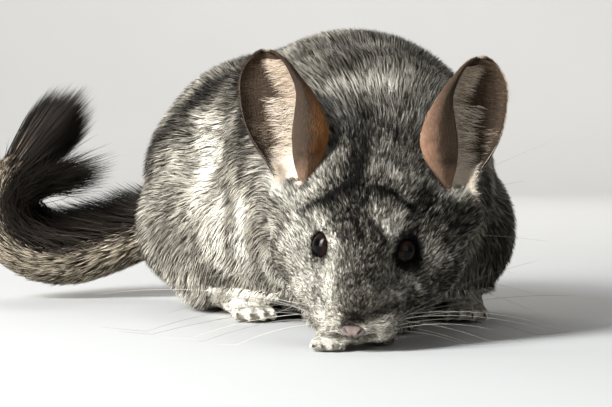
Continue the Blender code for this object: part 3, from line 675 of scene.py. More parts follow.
def tone_of(points, marks):
    """How pale the coat is, from 0 to 1: bands of the back, mottled flanks, ticked face, pale belly and feet, painted
    shade round the eyes, and the listed patches, some of which are painted light or shade.
    """
    on_head = headness(points)
    tone = 0.57 * (1 - on_head) + 0.48 * on_head
    tone -= 0.10 * step(points[:, 2], 0.085, 0.12) * (1 - on_head)
    tone += 0.25 * (1 - step(points[:, 2], 0.004, 0.030)) * (1 - tailness(points))
    for spots, radius, wanted, strength in marks:
        tone += (wanted - tone) * strength * np.exp(-((line_distance(points, spots) / (radius * MM)) ** 2))
    ringed = points @ RING_FRAME
    trunk = (grain(ringed, 0.012, 1) - 0.5) * 0.36 + (grain(ringed, 0.0045, 2) - 0.5) * 0.28
    trunk += (grain(points, 0.0035, 5) - 0.5) * 0.20
    face = (grain(points, 0.007, 3) - 0.5) * 0.30 + (grain(points, 0.0012, 4) - 0.5) * 0.42
    tone += trunk * (1 - on_head) + face * on_head
    for side, eye in EYES.items():
        tone -= 1.5 * near(points, eye, EYE_SHADOWS[side])
    return tone + 0.20 * footness(points)


def fold_depth(points, folds):
    """How deep the folds are at each point, from 0 to 1."""
    deep = np.zeros(len(points))
    for spots, half_width, depth in folds:
        deep = np.maximum(deep, depth * np.exp(-((line_distance(points, spots) / (half_width * MM)) ** 2)))
    return deep


def lie_of(points, normals):
    """The way the hair points: back from the nose, then along the back and down the sides."""
    from_nose = unit(points - np.array(NOSE))
    trunk = np.tile(np.array([-0.22, 0.75, 0.0]), (len(points), 1))
    steep = 1 - np.abs(normals[:, 2])
    front = step(-normals[:, 1], 0.2, 0.9)
    high = step(points[:, 2], 0.050, 0.080)
    trunk[:, 2] -= (0.25 + 0.9 * steep) * (1 - front * high)
    trunk[:, 1] *= 1 - 0.8 * front * (1 - high)
    on_head = headness(points)[:, None]
    flow = from_nose * on_head + trunk * (1 - on_head)
    flow = flow - normals * np.sum(flow * normals, axis=1, keepdims=True)
    flow = unit(flow)
    turn = (grain(points, 0.014, 7) - 0.5) * 0.7
    side = np.cross(normals, flow)
    return flow * np.cos(turn)[:, None] + side * np.sin(turn)[:, None]


def moved(skin, points):
    points[:, 2] = np.maximum(points[:, 2], 0.0002)
    skin.data.vertices.foreach_set("co", points.ravel())
    skin.data.update()


def sink(skin):
    """Sinks the skin under the coat in small steps."""
    points = vertices_of(skin.data)
    depth = coat_depth(points)
    steps = 5
    for _ in range(steps):
        moved(skin, vertices_of(skin.data) - normals_of(skin.data) * (depth / steps)[:, None])


def press(skin, folds):
    """Presses the folds into the skin."""
    points = vertices_of(skin.data)
    moved(skin, points - normals_of(skin.data) * (fold_depth(points, folds) * MM)[:, None])


def unwrapped(piece):
    """Lays the skin out flat, which the coat's own map follows."""
    bpy.context.view_layer.objects.active = piece
    piece.select_set(True)
    bpy.ops.object.mode_set(mode="EDIT")
    bpy.ops.mesh.select_all(action="SELECT")
    bpy.ops.uv.smart_project(angle_limit=math.radians(66), island_margin=0.002)
    bpy.ops.object.mode_set(mode="OBJECT")
    piece.select_set(False)
    piece.data.uv_layers[0].name = "OFBake"


class Ground:
    """The skin as triangles, to strew roots on."""

    def __init__(self, skin):
        mesh = skin.data
        mesh.calc_loop_triangles()
        count = len(mesh.loop_triangles)
        corners = np.empty(count * 3, np.int64)
        mesh.loop_triangles.foreach_get("vertices", corners)
        loops = np.empty(count * 3, np.int64)
        mesh.loop_triangles.foreach_get("loops", loops)
        map_places = np.empty(len(mesh.loops) * 2)
        mesh.uv_layers["OFBake"].data.foreach_get("uv", map_places)
        self.corners = vertices_of(mesh)[corners].reshape(-1, 3, 3)
        self.normals = normals_of(mesh)[corners].reshape(-1, 3, 3)
        self.maps = map_places.reshape(-1, 2)[loops].reshape(-1, 3, 2)
        edges = self.corners[:, 1:] - self.corners[:, :1]
        self.areas = np.linalg.norm(np.cross(edges[:, 0], edges[:, 1]), axis=1) / 2
        self.middles = self.corners.mean(axis=1)

    def strewn(self, density):
        """Roots at so many to the square metre: points, normals and places on the map."""
        wanted = self.areas * density * COAT_SHARE
        count = int(wanted.sum())
        chosen = DRAW.choice(len(wanted), size=count, p=wanted / wanted.sum())
        a, b = DRAW.random((2, count))
        over = a + b > 1
        a[over], b[over] = 1 - a[over], 1 - b[over]
        shares = np.stack((1 - a - b, a, b), axis=1)[:, :, None]
        points = (self.corners[chosen] * shares).sum(axis=1)
        normals = unit((self.normals[chosen] * shares).sum(axis=1))
        return points, normals, (self.maps[chosen] * shares).sum(axis=1)


def tuft_mesh(name, spines, across, widths, tones, normals, places, finish, bend=0.28):
    """Flat tapered tufts as one mesh. spines is (tufts, points, 3), and the last point is the tip."""
    count, rings = len(spines), spines.shape[1] - 1
    shares = np.interp(np.linspace(0, 1, rings), (0, TUFT_CORNERS, 1), (0.9, 1.0, 0.7))
    half = across[:, None, :] * (widths[:, None] * shares / 2)[:, :, None]
    spots = np.empty((count, 2 * rings + 1, 3), np.float32)
    spots[:, 0:-1:2] = spines[:, :-1] - half
    spots[:, 1:-1:2] = spines[:, :-1] + half
    spots[:, -1] = spines[:, -1]
    spots[:, :, 2] = np.maximum(spots[:, :, 2], 0.0001)
    faces = []
    for i in range(rings - 1):
        faces += [(2 * i, 2 * i + 1, 2 * i + 3), (2 * i, 2 * i + 3, 2 * i + 2)]
    faces.append((2 * rings - 2, 2 * rings - 1, 2 * rings))
    pattern = np.array(faces)
    corners = (np.arange(count)[:, None, None] * (2 * rings + 1) + pattern).reshape(-1)
    mesh = bpy.data.meshes.new(name)
    mesh.vertices.add(count * (2 * rings + 1))
    mesh.vertices.foreach_set("co", spots.ravel())
    mesh.loops.add(len(corners))
    mesh.loops.foreach_set("vertex_index", corners)
    mesh.polygons.add(count * len(faces))
    mesh.polygons.foreach_set("loop_start", np.arange(0, len(corners), 3))
    patch = np.zeros((2 * rings + 1, 2))
    patch[0:-1:2, 0], patch[1:-1:2, 0] = -0.5, 0.5
    patch[:, 1] = np.append(np.repeat(np.linspace(-0.5, 0.3, rings), 2), 0.5)
    uv = places[:, None, None, :] + (patch * PATCH)[pattern][None]
    layer = mesh.uv_layers.new(name="OFBake")
    layer.data.foreach_set("uv", uv.astype(np.float32).ravel())
    tone = np.empty((count, 2 * rings + 1))
    tone[:, 0:-1:2] = tone[:, 1:-1:2] = tones[:, :-1]
    tone[:, -1] = tones[:, -1]
    write_attribute(mesh, "tone", tone.ravel())
    mesh.update()
    mesh.shade_smooth()
    lying = np.repeat(normals[:, None, :], 2 * rings + 1, axis=1).reshape(-1, 3)
    bent = unit(lying + bend * unit(normals_of(mesh)) * np.sign(np.sum(lying * normals_of(mesh), axis=1))[:, None])
    mesh.normals_split_custom_set_from_vertices(bent.astype(np.float32))
    mesh.materials.append(finish)
    return new_object(name, mesh)


def strands(roots, normals, flow, lengths, lifts, rise=0.26):
    """A bent hair for each root: it leaves the skin steeply and lies down towards its tip."""
    steep, shallow = lifts + rise, lifts - rise
    first = normals * np.sin(steep)[:, None] + flow * np.cos(steep)[:, None]
    second = normals * np.sin(shallow)[:, None] + flow * np.cos(shallow)[:, None]
    middles = roots + first * (lengths * 0.5)[:, None]
    return np.stack((roots, middles, middles + second * (lengths * 0.5)[:, None]), axis=1)


def clumped(spines, spacing, pull):
    """Draws the tips of neighbouring tufts together: (spines, a random number for each clump)."""
    roots = spines[:, 0]
    share = np.minimum(1.0, 1 / (spacing * spacing))
    centres = np.flatnonzero(DRAW.random(len(roots)) < share)
    tree = KDTree(len(centres))
    for i, spot in enumerate(roots[centres]):
        tree.insert(spot, i)
    tree.balance()
    nearest = np.array([tree.find(spot)[1] for spot in roots])
    centre = spines[centres][nearest]
    pulled = spines.copy()
    pulled[:, 1] += (centre[:, 1] - spines[:, 1]) * (pull * 0.45)[:, None]
    pulled[:, 2] += (centre[:, 2] - spines[:, 2]) * pull[:, None]
    return pulled, DRAW.random(len(centres))[nearest]


def body_coat(ground, marks, shaded_creases, folds, finish):
    """The coat of the head, trunk and feet, in pieces: fine short hair in front, longer tufts behind."""
    spots = ground.middles
    on_head, on_feet, on_tail = headness(spots), footness(spots), tailness(spots)
    fine = on_head > 0.5
    density = 3.25 + 2.0 * on_head
    density = np.where(fine, 22 + 24 * (1 - face_length(spots)), density) + 4.0 * on_feet
    density *= 1 - 0.25 * step(spots[:, 1], 0.02, 0.08) * (1 - on_head)
    density *= 1 - on_tail
    density *= 0.25 + 0.75 * step(spots[:, 2], 0.0008, 0.006)
    for eye in EYES.values():
        away = np.linalg.norm(spots - np.array(eye), axis=1)
        density *= step(away, 0.0057, 0.0064)
    density *= step(np.linalg.norm(spots - np.array(NOSE), axis=1), 0.0012, 0.0024)
    roots, normals, places = ground.strewn(density * 1e6)
    on_head, on_feet = headness(roots), footness(roots)
    back = face_length(roots)
    flow = lie_of(roots, normals)
    deep = np.clip(fold_depth(roots, folds), 0, 1)
    head_length = np.interp(back, (0, 0.25, 0.6, 1), (0.8, 1.3, 2.2, 4.4))
    lengths = on_head * head_length + (1 - on_head) * 7.2
    lengths = lengths * (1 - on_feet) + 1.5 * on_feet
    for eye in EYES.values():
        lengths *= 1 - 0.6 * near(roots, eye, 0.013)
    lengths *= (1 - 0.4 * deep) * DRAW.uniform(0.82, 1.12, len(roots)) * MM
    lifts = np.radians(on_head * np.interp(back, (0, 0.3, 1), (14, 22, 32)) + (1 - on_head) * 40)
    lifts = lifts * (1 - on_feet) + np.radians(14) * on_feet
    lifts += DRAW.normal(0, 0.09, len(roots))
    shown = roots + (flow * np.cos(lifts)[:, None] + normals * np.sin(lifts)[:, None]) * (lengths * 0.85)[:, None]
    broken = 0.40 + 1.2 * grain(shown, 0.0016, 9)
    # Painted shade in the creases, broken up by noise; partly the hair's own dark bases showing in the partings
    tone = tone_of(shown, marks) - 0.95 * broken * np.clip(fold_depth(shown, shaded_creases), 0, 1)
    tone += DRAW.normal(0, 0.04, len(roots))
    widths = (on_head * np.interp(back, (0, 0.4, 1), (0.11, 0.14, 0.20)) + (1 - on_head) * 0.36) * MM
    widths = widths * (1 - on_feet) + 0.14 * MM * on_feet
    group = np.where(on_feet > 0.5, 2, np.where(on_head > 0.5, 0, 1))
    made = []
    for kind, (word, slot, spacing, pull, contrast, tick) in enumerate((
        ("head", "face_fur", 3.3, 0.40, 0.70, 0.26),
        ("body", "back_fur", 3.0, 0.10, 0.06, 0.08),
        ("feet", "paw_fur", 3.0, 0.20, 0.14, 0.10),
    )):
        chosen = np.flatnonzero(group == kind)
        chosen = chosen[np.argsort(roots[chosen, 1] if kind else roots[chosen, 0], kind="stable")]
        spines = strands(roots[chosen], normals[chosen], flow[chosen], lengths[chosen], lifts[chosen])
        spines, clump = clumped(spines, spacing, np.full(len(chosen), pull))
        if kind == 0:
            spines = spines[:, [0, 2]]
        if kind == 0:
            contrast *= np.interp(back[chosen], (0, 0.5), (0.45, 1.0))
        shade = tone[chosen] + (clump - 0.5) * contrast
        ticked = DRAW.random(len(chosen)) < 0.28
        tips = np.where(ticked, shade - tick, shade + 0.06)
        # Each tuft darker towards its root: partly the hair's own dark base, partly painted shade deep in the coat
        tones = np.linspace(shade * (0.9 if kind == 1 else 0.75), tips, spines.shape[1], axis=1)
        across = unit(np.cross(spines[:, -1] - spines[:, 0], normals[chosen]) + DRAW.normal(0, 0.25, (len(chosen), 3)))
        for number, some in enumerate(np.array_split(np.arange(len(chosen)), max(1, -(-len(chosen) // PIECE_TUFTS[kind])))):
            picked = chosen[some]
            piece = tuft_mesh(
                f"coat_{word}_{number + 1}", spines[some], across[some], widths[picked], tones[some],
                normals[picked], places[picked], finish, 0.14 if kind == 1 else 0.28,
            )
            made.append((piece, slot))
    return made


def nearest_places(ground, roots):
    """Where on the skin's map each root outside the strewn ones belongs."""
    tree = KDTree(len(ground.middles))
    for i, spot in enumerate(ground.middles):
        tree.insert(spot, i)
    tree.balance()
    nearest = [tree.find(spot)[1] for spot in roots]
    return ground.maps[nearest].mean(axis=1)


def tail_coat(ground, finish):
    """Short cream hair under the tail, long black bristles above it, and the brush at its end."""
    def rooted(count, low, high, spread):
        """Places round the tail: roots, the way out, and the way along it."""
        roots, out, ahead = [], [], []
        for t, turn in zip(DRAW.uniform(low, high, count), spread):
            way, upper, across = tail_frame(t)
            outward = upper * math.cos(turn) + across * math.sin(turn)
            roots.append(along(TAIL_LINE, t) + outward * float(np.interp(t, *TAIL_RADII)) * 0.93)
            out.append(outward)
            ahead.append(way)
        return np.array(roots), np.array(out), np.array(ahead)

    made = []
    count = int(26000 * COAT_SHARE)
    turns = DRAW.uniform(0, 2 * math.pi, count)
    roots, out, ahead = rooted(count, 0.0, 1.0, turns)
    under = step(-np.cos(turns) + DRAW.normal(0, 0.18, count), -0.60, -0.05)
    lengths = DRAW.uniform(5.0, 8.0, count) * MM
    spines = strands(roots, out, ahead, lengths, np.radians(DRAW.normal(24, 5, count)))
    spines, clump = clumped(spines, 3.0, np.full(count, 0.5))
    far = np.array([line_share(root) for root in roots]) + (clump - 0.5) * 0.25
    tone = 0.12 + 0.72 * under * (1 - 0.8 * step(far, 0.80, 1.0)) + (clump - 0.5) * 0.26 + DRAW.normal(0, 0.05, count)
    # Each hair darker towards its root: partly its own dark base, partly painted shade deep in the coat
    tones = np.stack((tone * 0.6, tone, tone + 0.08), axis=1)
    across = unit(np.cross(spines[:, 2] - spines[:, 0], out) + DRAW.normal(0, 0.2, (count, 3)))
    made.append(tuft_mesh(
        "coat_tail_short", spines, across, np.full(count, 0.42 * MM), tones, out,
        nearest_places(ground, roots), finish,
    ))

    count = int(9000 * COAT_SHARE)
    turns = DRAW.normal(0, 0.45, count)
    roots, out, ahead = rooted(count, 0.06, 1.0, turns)
    t = np.array([line_share(root) for root in roots])
    lengths = np.interp(t, (0, 0.3, 0.7, 1), (0.016, 0.026, 0.033, 0.036)) * DRAW.uniform(0.7, 1.1, count)
    angle = np.radians(DRAW.normal(56, 7, count))[:, None]
    heading = ahead * np.cos(angle) + out * np.sin(angle)
    reaches = (0.0, 0.35, 0.7, 1.0)
    spines = np.stack([roots + (heading + ahead * 0.3 * r) * (lengths * r)[:, None] for r in reaches], axis=1)
    tone = 0.10 + DRAW.normal(0, 0.06, count) + 0.16 * (DRAW.random(count) < 0.12)
    tones = np.stack((tone + 0.12, tone + 0.03, tone, tone), axis=1)
    across = unit(np.cross(heading, out) + DRAW.normal(0, 0.4, (count, 3)))
    made.append(tuft_mesh(
        "coat_tail_bristles", spines, across, np.full(count, 0.40 * MM), tones, out,
        nearest_places(ground, roots), finish,
    ))

    count = int(6000 * COAT_SHARE)
    end = np.array(along(TAIL_LINE, 1.0))
    aim = np.array(BRUSH_AIM)
    ahead, upper, across = (np.array(way) for way in tail_frame(1.0))
    turns, ring = DRAW.uniform(0, 2 * math.pi, count), np.sqrt(DRAW.random(count))
    side = across * (np.cos(turns) * 0.7)[:, None] + upper * np.sin(turns)[:, None]
    heading = unit(aim + side * (ring * 0.42)[:, None])
    lengths = 0.056 * (1 - 0.25 * ring) * DRAW.uniform(0.75, 1.05, count)
    roots = end - aim * DRAW.uniform(0.0, 0.012, count)[:, None] + side * (ring * 0.0052)[:, None]
    bend = (aim - heading) * 0.35
    spines = np.stack([roots + (heading + bend * r) * (lengths * r)[:, None] for r in reaches], axis=1)
    pale = (DRAW.random(count) < 0.22) * (side @ upper < 0.1)
    tone = 0.10 + DRAW.normal(0, 0.05, count)
    tones = np.stack((tone + 0.55 * pale, tone + 0.42 * pale, tone + 0.12 * pale, tone), axis=1)
    flat = unit(np.cross(heading, side) + DRAW.normal(0, 0.4, (count, 3)))
    made.append(tuft_mesh(
        "coat_tail_brush", spines, flat, np.full(count, 0.42 * MM), tones, unit(side + aim * 0.3),
        nearest_places(ground, roots), finish,
    ))
    return [(piece, "tail_fur") for piece in made]


def line_share(root, samples=40):
    """How far along the tail a root is, from 0 to 1."""
    reach = [(Vector(root) - along(TAIL_LINE, i / samples)).length_squared for i in range(samples + 1)]
    return reach.index(min(reach)) / samples


def smooth_row(row, at):
    """The ear's row at any place between the named ones."""
    last = len(EAR_ROWS) - 1
    i = min(int(at), last - 1)
    f = at - i
    p0, p1, p2, p3 = (EAR_ROWS[k][row] for k in (max(i - 1, 0), i, i + 1, min(i + 2, last)))
    return 0.5 * (
        2 * p1 + (p2 - p0) * f + (2 * p0 - 5 * p1 + 4 * p2 - p3) * f**2 + (3 * p1 - p0 - 3 * p2 + p3) * f**3
    )


def ear_section(at):
    """The rolled sheet at one height, from the edge of the front fold round to the outer edge."""
    height, outer, inner, fold = (smooth_row(row, at) * MM for row in range(4))
    level = max(0.0, min(1.0, height / 0.0548))
    rooted = 0.15 + 0.85 * max(0.0, min(1.0, height / 0.015))
    depth = EAR_CUP_DEPTH * rooted * (1 - 0.72 * level**1.4)
    width = outer - inner
    return height, (
        (fold, -0.80 * depth),
        (fold * 0.45 + inner * 0.55, -0.92 * depth),
        (inner, -0.10 * depth),
        (inner + width * 0.22, 0.72 * depth),
        (inner + width * 0.58, 0.80 * depth),
        (inner + width * 0.86, 0.34 * depth),
        (outer, -0.30 * depth),
    )


def ear_spot(side, up, around):
    """A point of the ear's middle sheet: up from 0 to 1, around from the fold's edge (0) to the outer edge (1)."""
    height, corners = ear_section((len(EAR_ROWS) - 1) * up)
    across, depth = along(corners, around)
    back = depth + EAR_TURN_BACK * across + EAR_LEAN_BACK * height
    return EAR_BASES[side] + Vector((across * side, back, height))


def ear_sheet(side, rows=64, columns=48):
    """The ear's middle sheet as a grid of points: (rows, columns, 3)."""
    shares = [(i / (rows - 1), j / (columns - 1)) for i in range(rows) for j in range(columns)]
    return np.array([ear_spot(side, up, around) for up, around in shares]).reshape(rows, columns, 3)


def ear(sheet, side, word, finish):
    """The cup of one ear as a thin, slightly uneven sheet."""
    rows, columns = sheet.shape[:2]
    shape = bmesh.new()
    grid = [[shape.verts.new(spot) for spot in line] for line in sheet]
    for low, high in zip(grid, grid[1:]):
        for a, b, c, d in zip(low, low[1:], high[1:], high):
            shape.faces.new((a, b, c, d) if side > 0 else (d, c, b, a))
    mesh = bpy.data.meshes.new("ear_" + word)
    shape.to_mesh(mesh)
    shape.free()
    ups = np.repeat(np.linspace(0, 1, rows), columns)
    arounds = np.tile(np.linspace(0, 1, columns), rows)
    points = vertices_of(mesh)
    ripple = (grain(points, 0.006, 21) - 0.5) * 0.7 * MM
    rim = 1 - np.minimum(1, 14 * np.minimum(1 - ups, 1 - arounds))
    points += normals_of(mesh) * (ripple * (0.35 + 0.9 * rim))[:, None]
    mesh.vertices.foreach_set("co", points.ravel())
    write_attribute(mesh, "up", ups)
    write_attribute(mesh, "around", arounds)
    write_attribute(mesh, "rim", rim)
    mesh.shade_smooth()
    made = new_object("ear_skin_" + word, mesh)
    shell = made.modifiers.new("skin", "SOLIDIFY")
    shell.thickness = EAR_THICKNESS
    shell.offset = 0
    made.data.materials.append(finish)
    return baked(made)


def sampled(grid, ups, arounds):
    """Values of a grid at shares of its rows and columns."""
    row, column = ups * (grid.shape[0] - 1), arounds * (grid.shape[1] - 1)
    i = np.clip(row.astype(int), 0, grid.shape[0] - 2)
    j = np.clip(column.astype(int), 0, grid.shape[1] - 2)
    f, g = (row - i)[:, None], (column - j)[:, None]
    low = grid[i, j] * (1 - g) + grid[i, j + 1] * g
    high = grid[i + 1, j] * (1 - g) + grid[i + 1, j + 1] * g
    return low * (1 - f) + high * f


def ear_coat(sheet, side, word, finish):
    """Cream hair in the cup, fine fuzz on the fold, rim and back, and the pale tuft at the base."""
    upward = unit(np.gradient(sheet, axis=0))
    sideways = unit(np.gradient(sheet, axis=1))
    inward = unit(np.cross(upward, sideways)) * side
    inward *= np.where(inward[:, 30:34, 1].mean() > 0, -1, 1)
    groups = (
        # count, up from and to, around from, to and bias, length, width, tone, its spread, way (up, out),
        # lift, face, mess
        (2600, (0.05, 0.38), (0.33, 0.74, 1.3), (2.8, 7.0), 0.14, 0.90, 0.14, (-0.25, 1.0), 22, 1, 0.26),
        (2300, (0.30, 0.62), (0.33, 0.68, 1.3), (2.8, 7.0), 0.14, 0.75, 0.16, (-0.25, 1.0), 22, 1, 0.26),
        (3400, (0.45, 0.86), (0.33, 0.57, 1.3), (2.4, 6.0), 0.14, 0.62, 0.16, (-0.12, 1.0), 22, 1, 0.22),
        (1400, (0.08, 0.52), (0.40, 0.90, 1.2), (2.0, 5.0), 0.11, 0.52, 0.14, (-0.12, 1.0), 14, 1, 0.22),
        (1500, (0.42, 0.96), (0.46, 0.97, 1.0), (2.0, 4.5), 0.10, 0.20, 0.10, (-0.12, 1.0), 12, 1, 0.20),
        (7000, (0.06, 0.97), (0.00, 0.34, 1.0), (0.5, 1.1), 0.06, 0.20, 0.10, (0.9, 0.15), 10, -1, 0.30),
        (900, (0.08, 0.90), (0.985, 1.0, 1.0), (0.5, 1.3), 0.06, 0.75, 0.12, (0.5, 1.0), 6, 1, 0.30),
        (3400, (0.02, 0.27), (0.30, 0.92, 1.5), (3.5, 9.0), 0.16, 1.00, 0.10, (-0.35, 0.8), 30, 1, 0.45),
        (1300, (0.00, 0.13), (0.45, 0.90, 1.0), (4.0, 8.0), 0.20, 1.00, 0.08, (-0.70, 0.4), 42, 1, 0.50),
        (1500, (0.02, 0.15), (0.00, 0.42, 1.0), (2.0, 4.5), 0.15, 0.95, 0.10, (-0.50, -0.9), 28, -1, 0.45),
        (4500, (0.03, 0.98), (0.30, 1.00, 1.0), (1.2, 2.2), 0.20, 0.45, 0.12, (1.0, 0.1), 14, -1, 0.20),
    )
    parts = []
    for count, ups, arounds, lengths, width, tone, spread, (rise, outward), lift, face, mess in groups:
        count = int(count * COAT_SHARE)
        up = DRAW.uniform(*ups, count)
        around = arounds[0] + (arounds[1] - arounds[0]) * DRAW.random(count) ** arounds[2]
        out = unit(sampled(inward, up, around)) * face
        above, beside = sampled(upward, up, around), sampled(sideways, up, around)
        turned = DRAW.normal(0, mess, (2, count, 1))
        way = unit(above * (rise + turned[0]) + beside * (outward + turned[1]))
        angle = np.radians(lift + DRAW.normal(0, 5, count))
        length = DRAW.uniform(*lengths, count) * MM
        roots = sampled(sheet, up, around) + out * EAR_THICKNESS * 0.3
        spines = strands(roots, out, way, length, angle)
        # the ear's painted light is added to its flatter hair
        shade = tone + EAR_PAINTED_LIGHT[side] * (lift < 25) + DRAW.normal(0, spread, count)
        # Each hair darker towards its root: partly its own dark base, partly painted shade among the hairs
        tones = np.stack((shade - 0.10, shade, shade + 0.04), axis=1)
        flat = unit(np.cross(way, out) + DRAW.normal(0, 0.3, (count, 3)))
        places = np.stack((around, up), axis=1)
        parts.append((spines, flat, np.full(count, width * MM), tones, out, places))
    spines, flats, widths, tones, outs, places = (np.concatenate(part) for part in zip(*parts))
    return tuft_mesh(f"coat_ear_{word}", spines, flats, widths, tones, outs, places, finish)


def eye(side, word, finish):
    """The glossy ball, and how far each point is from its middle."""
    facing = HEAD.to_3x3() @ Vector((EYE_FACING.x * side, EYE_FACING.y, EYE_FACING.z))
    shape = bmesh.new()
    bmesh.ops.create_uvsphere(shape, u_segments=64, v_segments=40, radius=EYE_RADIUS)
    mesh = bpy.data.meshes.new("eye_" + word)
    shape.to_mesh(mesh)
    shape.free()
    turn = facing.to_track_quat("Z", "Y").to_matrix().to_4x4()
    mesh.transform(Matrix.Translation(EYES[side]) @ turn)
    points = vertices_of(mesh) - np.array(EYES[side])
    write_attribute(mesh, "ring", np.arccos(np.clip(points @ np.array(facing) / EYE_RADIUS, -1, 1)) / (math.pi / 2))
    mesh.shade_smooth()
    mesh.materials.append(finish)
    return new_object("eyeball_" + word, mesh)


def lid(side, word, finish):
    """The dark rim round one eye."""
    facing = HEAD.to_3x3() @ Vector((EYE_FACING.x * side, EYE_FACING.y, EYE_FACING.z))
    across = HEAD.to_3x3() @ Vector((0.55 * side, 0.83, 0))
    upward = facing.cross(across).normalized()
    across = upward.cross(facing).normalized()
    bpy.ops.mesh.primitive_torus_add(major_segments=64, minor_segments=14, major_radius=1, minor_radius=0.12)
    made = bpy.context.object
    columns = (across * LID_OPENING[0], upward * LID_OPENING[1], facing * 0.009)
    made.data.transform(Matrix.Translation(EYES[side] + facing * 0.0019) @ Matrix(columns).transposed().to_4x4())
    made.data.shade_smooth()
    made.data.materials.append(finish)
    made.name = "lid_" + word
    return made


def nose(finish):
    """The bare pad, its groove and two comma-shaped nostrils."""
    shape = bmesh.new()
    bmesh.ops.create_icosphere(shape, subdivisions=6, radius=1.0)
    hollow_shades = []
    for vertex in shape.verts:
        x, y, z = vertex.co
        groove = math.exp(-((x / 0.09) ** 2)) * (z < 0.4)
        hole = max(
            math.exp(-(((x - 0.66 * side) / 0.20) ** 2 + ((z - 0.46 - 0.3 * (abs(x) - 0.6)) / 0.22) ** 2)) for side in (-1, 1)
        ) * (y < 0.2)
        radius = 1 - 0.14 * groove - 0.34 * hole
        narrow = 1 - 0.28 * max(0.0, -z)
        vertex.co = Vector((x * 0.0046 * narrow, y * 0.0026, z * 0.0020 - 0.0005 * (1 - abs(x)) - 0.0010)) * radius
        # painted shade in the nostrils and the lower groove
        hollow_shades.append(min(1.0, max(1.5 * hole, 0.6 * groove * (z < 0))))
    mesh = bpy.data.meshes.new("nose_pad")
    shape.to_mesh(mesh)
    shape.free()
    write_attribute(mesh, "hole", hollow_shades)
    mesh.transform(HEAD @ Matrix.Translation(NOSE_CENTRE + Vector((0, 0.0008, -0.0006))))
    mesh.shade_smooth()
    mesh.materials.append(finish)
    return new_object("nose_pad", mesh)


def claws(finish):
    """Short blunt nails at the ends of the toes."""
    shape = bmesh.new()
    for heel, ball, (width, height, toe_length, toe_spread, toe_count) in FOOT_LINES:
        heading = (ball - heel).normalized()
        across = Vector((-heading.y, heading.x, 0))
        for i in range(toe_count):
            lane = i / (toe_count - 1) - 0.5
            turned = Matrix.Rotation(math.radians(toe_spread) * lane, 3, "Z") @ heading
            tip = ball + across * width * lane * 0.9 + turned * toe_length * (1 - 0.9 * lane**2)
            tip.z = height * 0.32
            beside = Vector((-turned.y, turned.x, 0))
            size = height * 0.22
            previous = None
            for reach, drop, thick in ((-0.4, 0.0, 0.30), (0.5, 0.0, 0.36), (1.3, 0.20, 0.26), (1.9, 0.55, 0.06)):
                middle = tip + (turned * reach - Vector((0, 0, drop))) * size
                ring = []
                for k in range(10):
                    turn = 2 * math.pi * k / 10
                    offset = beside * math.cos(turn) * 0.8 + Vector((0, 0, math.sin(turn)))
                    ring.append(shape.verts.new(middle + offset * thick * size))
                if previous:
                    for a, b, c, d in zip(previous, previous[1:] + previous[:1], ring[1:] + ring[:1], ring):
                        shape.faces.new((a, b, c, d))
                else:
                    shape.faces.new(ring[::-1])
                previous = ring
            shape.faces.new(previous)
    mesh = bpy.data.meshes.new("claws")
    shape.to_mesh(mesh)
    shape.free()
    mesh.shade_smooth()
    mesh.materials.append(finish)
    return new_object("claws", mesh)


def whiskers(tree, finish):
    """Rows of long tapered whiskers that sweep out and back from each side of the muzzle."""
    shape = bmesh.new()
    tones = []
    sides = 5
    for side in (-1, 1):
        for row in range(4):
            for column in range(6):
                local = Vector((0.0078 + 0.0014 * row * 0.5, -0.0290 + 0.0030 * column, -0.0085 - 0.0022 * row))
                start = HEAD @ Vector((local.x * side * 2.2, local.y, local.z))
                inward = (HEAD.to_3x3() @ Vector((-side, 0.25, 0.1))).normalized()
                root = tree.ray_cast(start, inward)[0]
                if root is None:
                    continue
                length = (0.034 + 0.014 * column) * DRAW.uniform(0.8, 1.15)
                way = Vector((side, 0.05 + 0.13 * column, 0.50 - 0.19 * row + DRAW.normal(0, 0.07)))
                droop = Vector((0, 0.30, -0.42 + DRAW.normal(0, 0.10)))
                shade = DRAW.choice((0.05, 0.3, 0.75))
                previous = None
                steps = 16
                for k in range(steps + 1):
                    r = k / steps
                    spot = root + (way + droop * r * 0.55) * (length * r)
                    spot.x = max(min(spot.x, 0.141), -0.14)
                    spot.y = max(spot.y, CAD_BOX[0].y - 0.010)
                    spot.z = max(spot.z, 0.0006)
                    ahead = (way + droop * r * 1.1).normalized()
                    one = ahead.cross(Vector((0, 0, 1))).normalized()
                    two = ahead.cross(one).normalized()
                    radius = 0.00007 * (1 - r) ** 0.8 + 0.00002
                    ring = []
                    for j in range(sides):
                        turn = 2 * math.pi * j / sides
                        ring.append(shape.verts.new(spot + (one * math.cos(turn) + two * math.sin(turn)) * radius))
                        tones.append(shade)
                    if previous:
                        for a, b, c, d in zip(previous, previous[1:] + previous[:1], ring[1:] + ring[:1], ring):
                            shape.faces.new((a, b, c, d))
                    else:
                        shape.faces.new(ring[::-1])
                    previous = ring
                shape.faces.new(previous)
    mesh = bpy.data.meshes.new("whiskers")
    shape.to_mesh(mesh)
    shape.free()
    write_attribute(mesh, "tone", tones)
    mesh.shade_smooth()
    mesh.materials.append(finish)
    return new_object("whiskers", mesh)


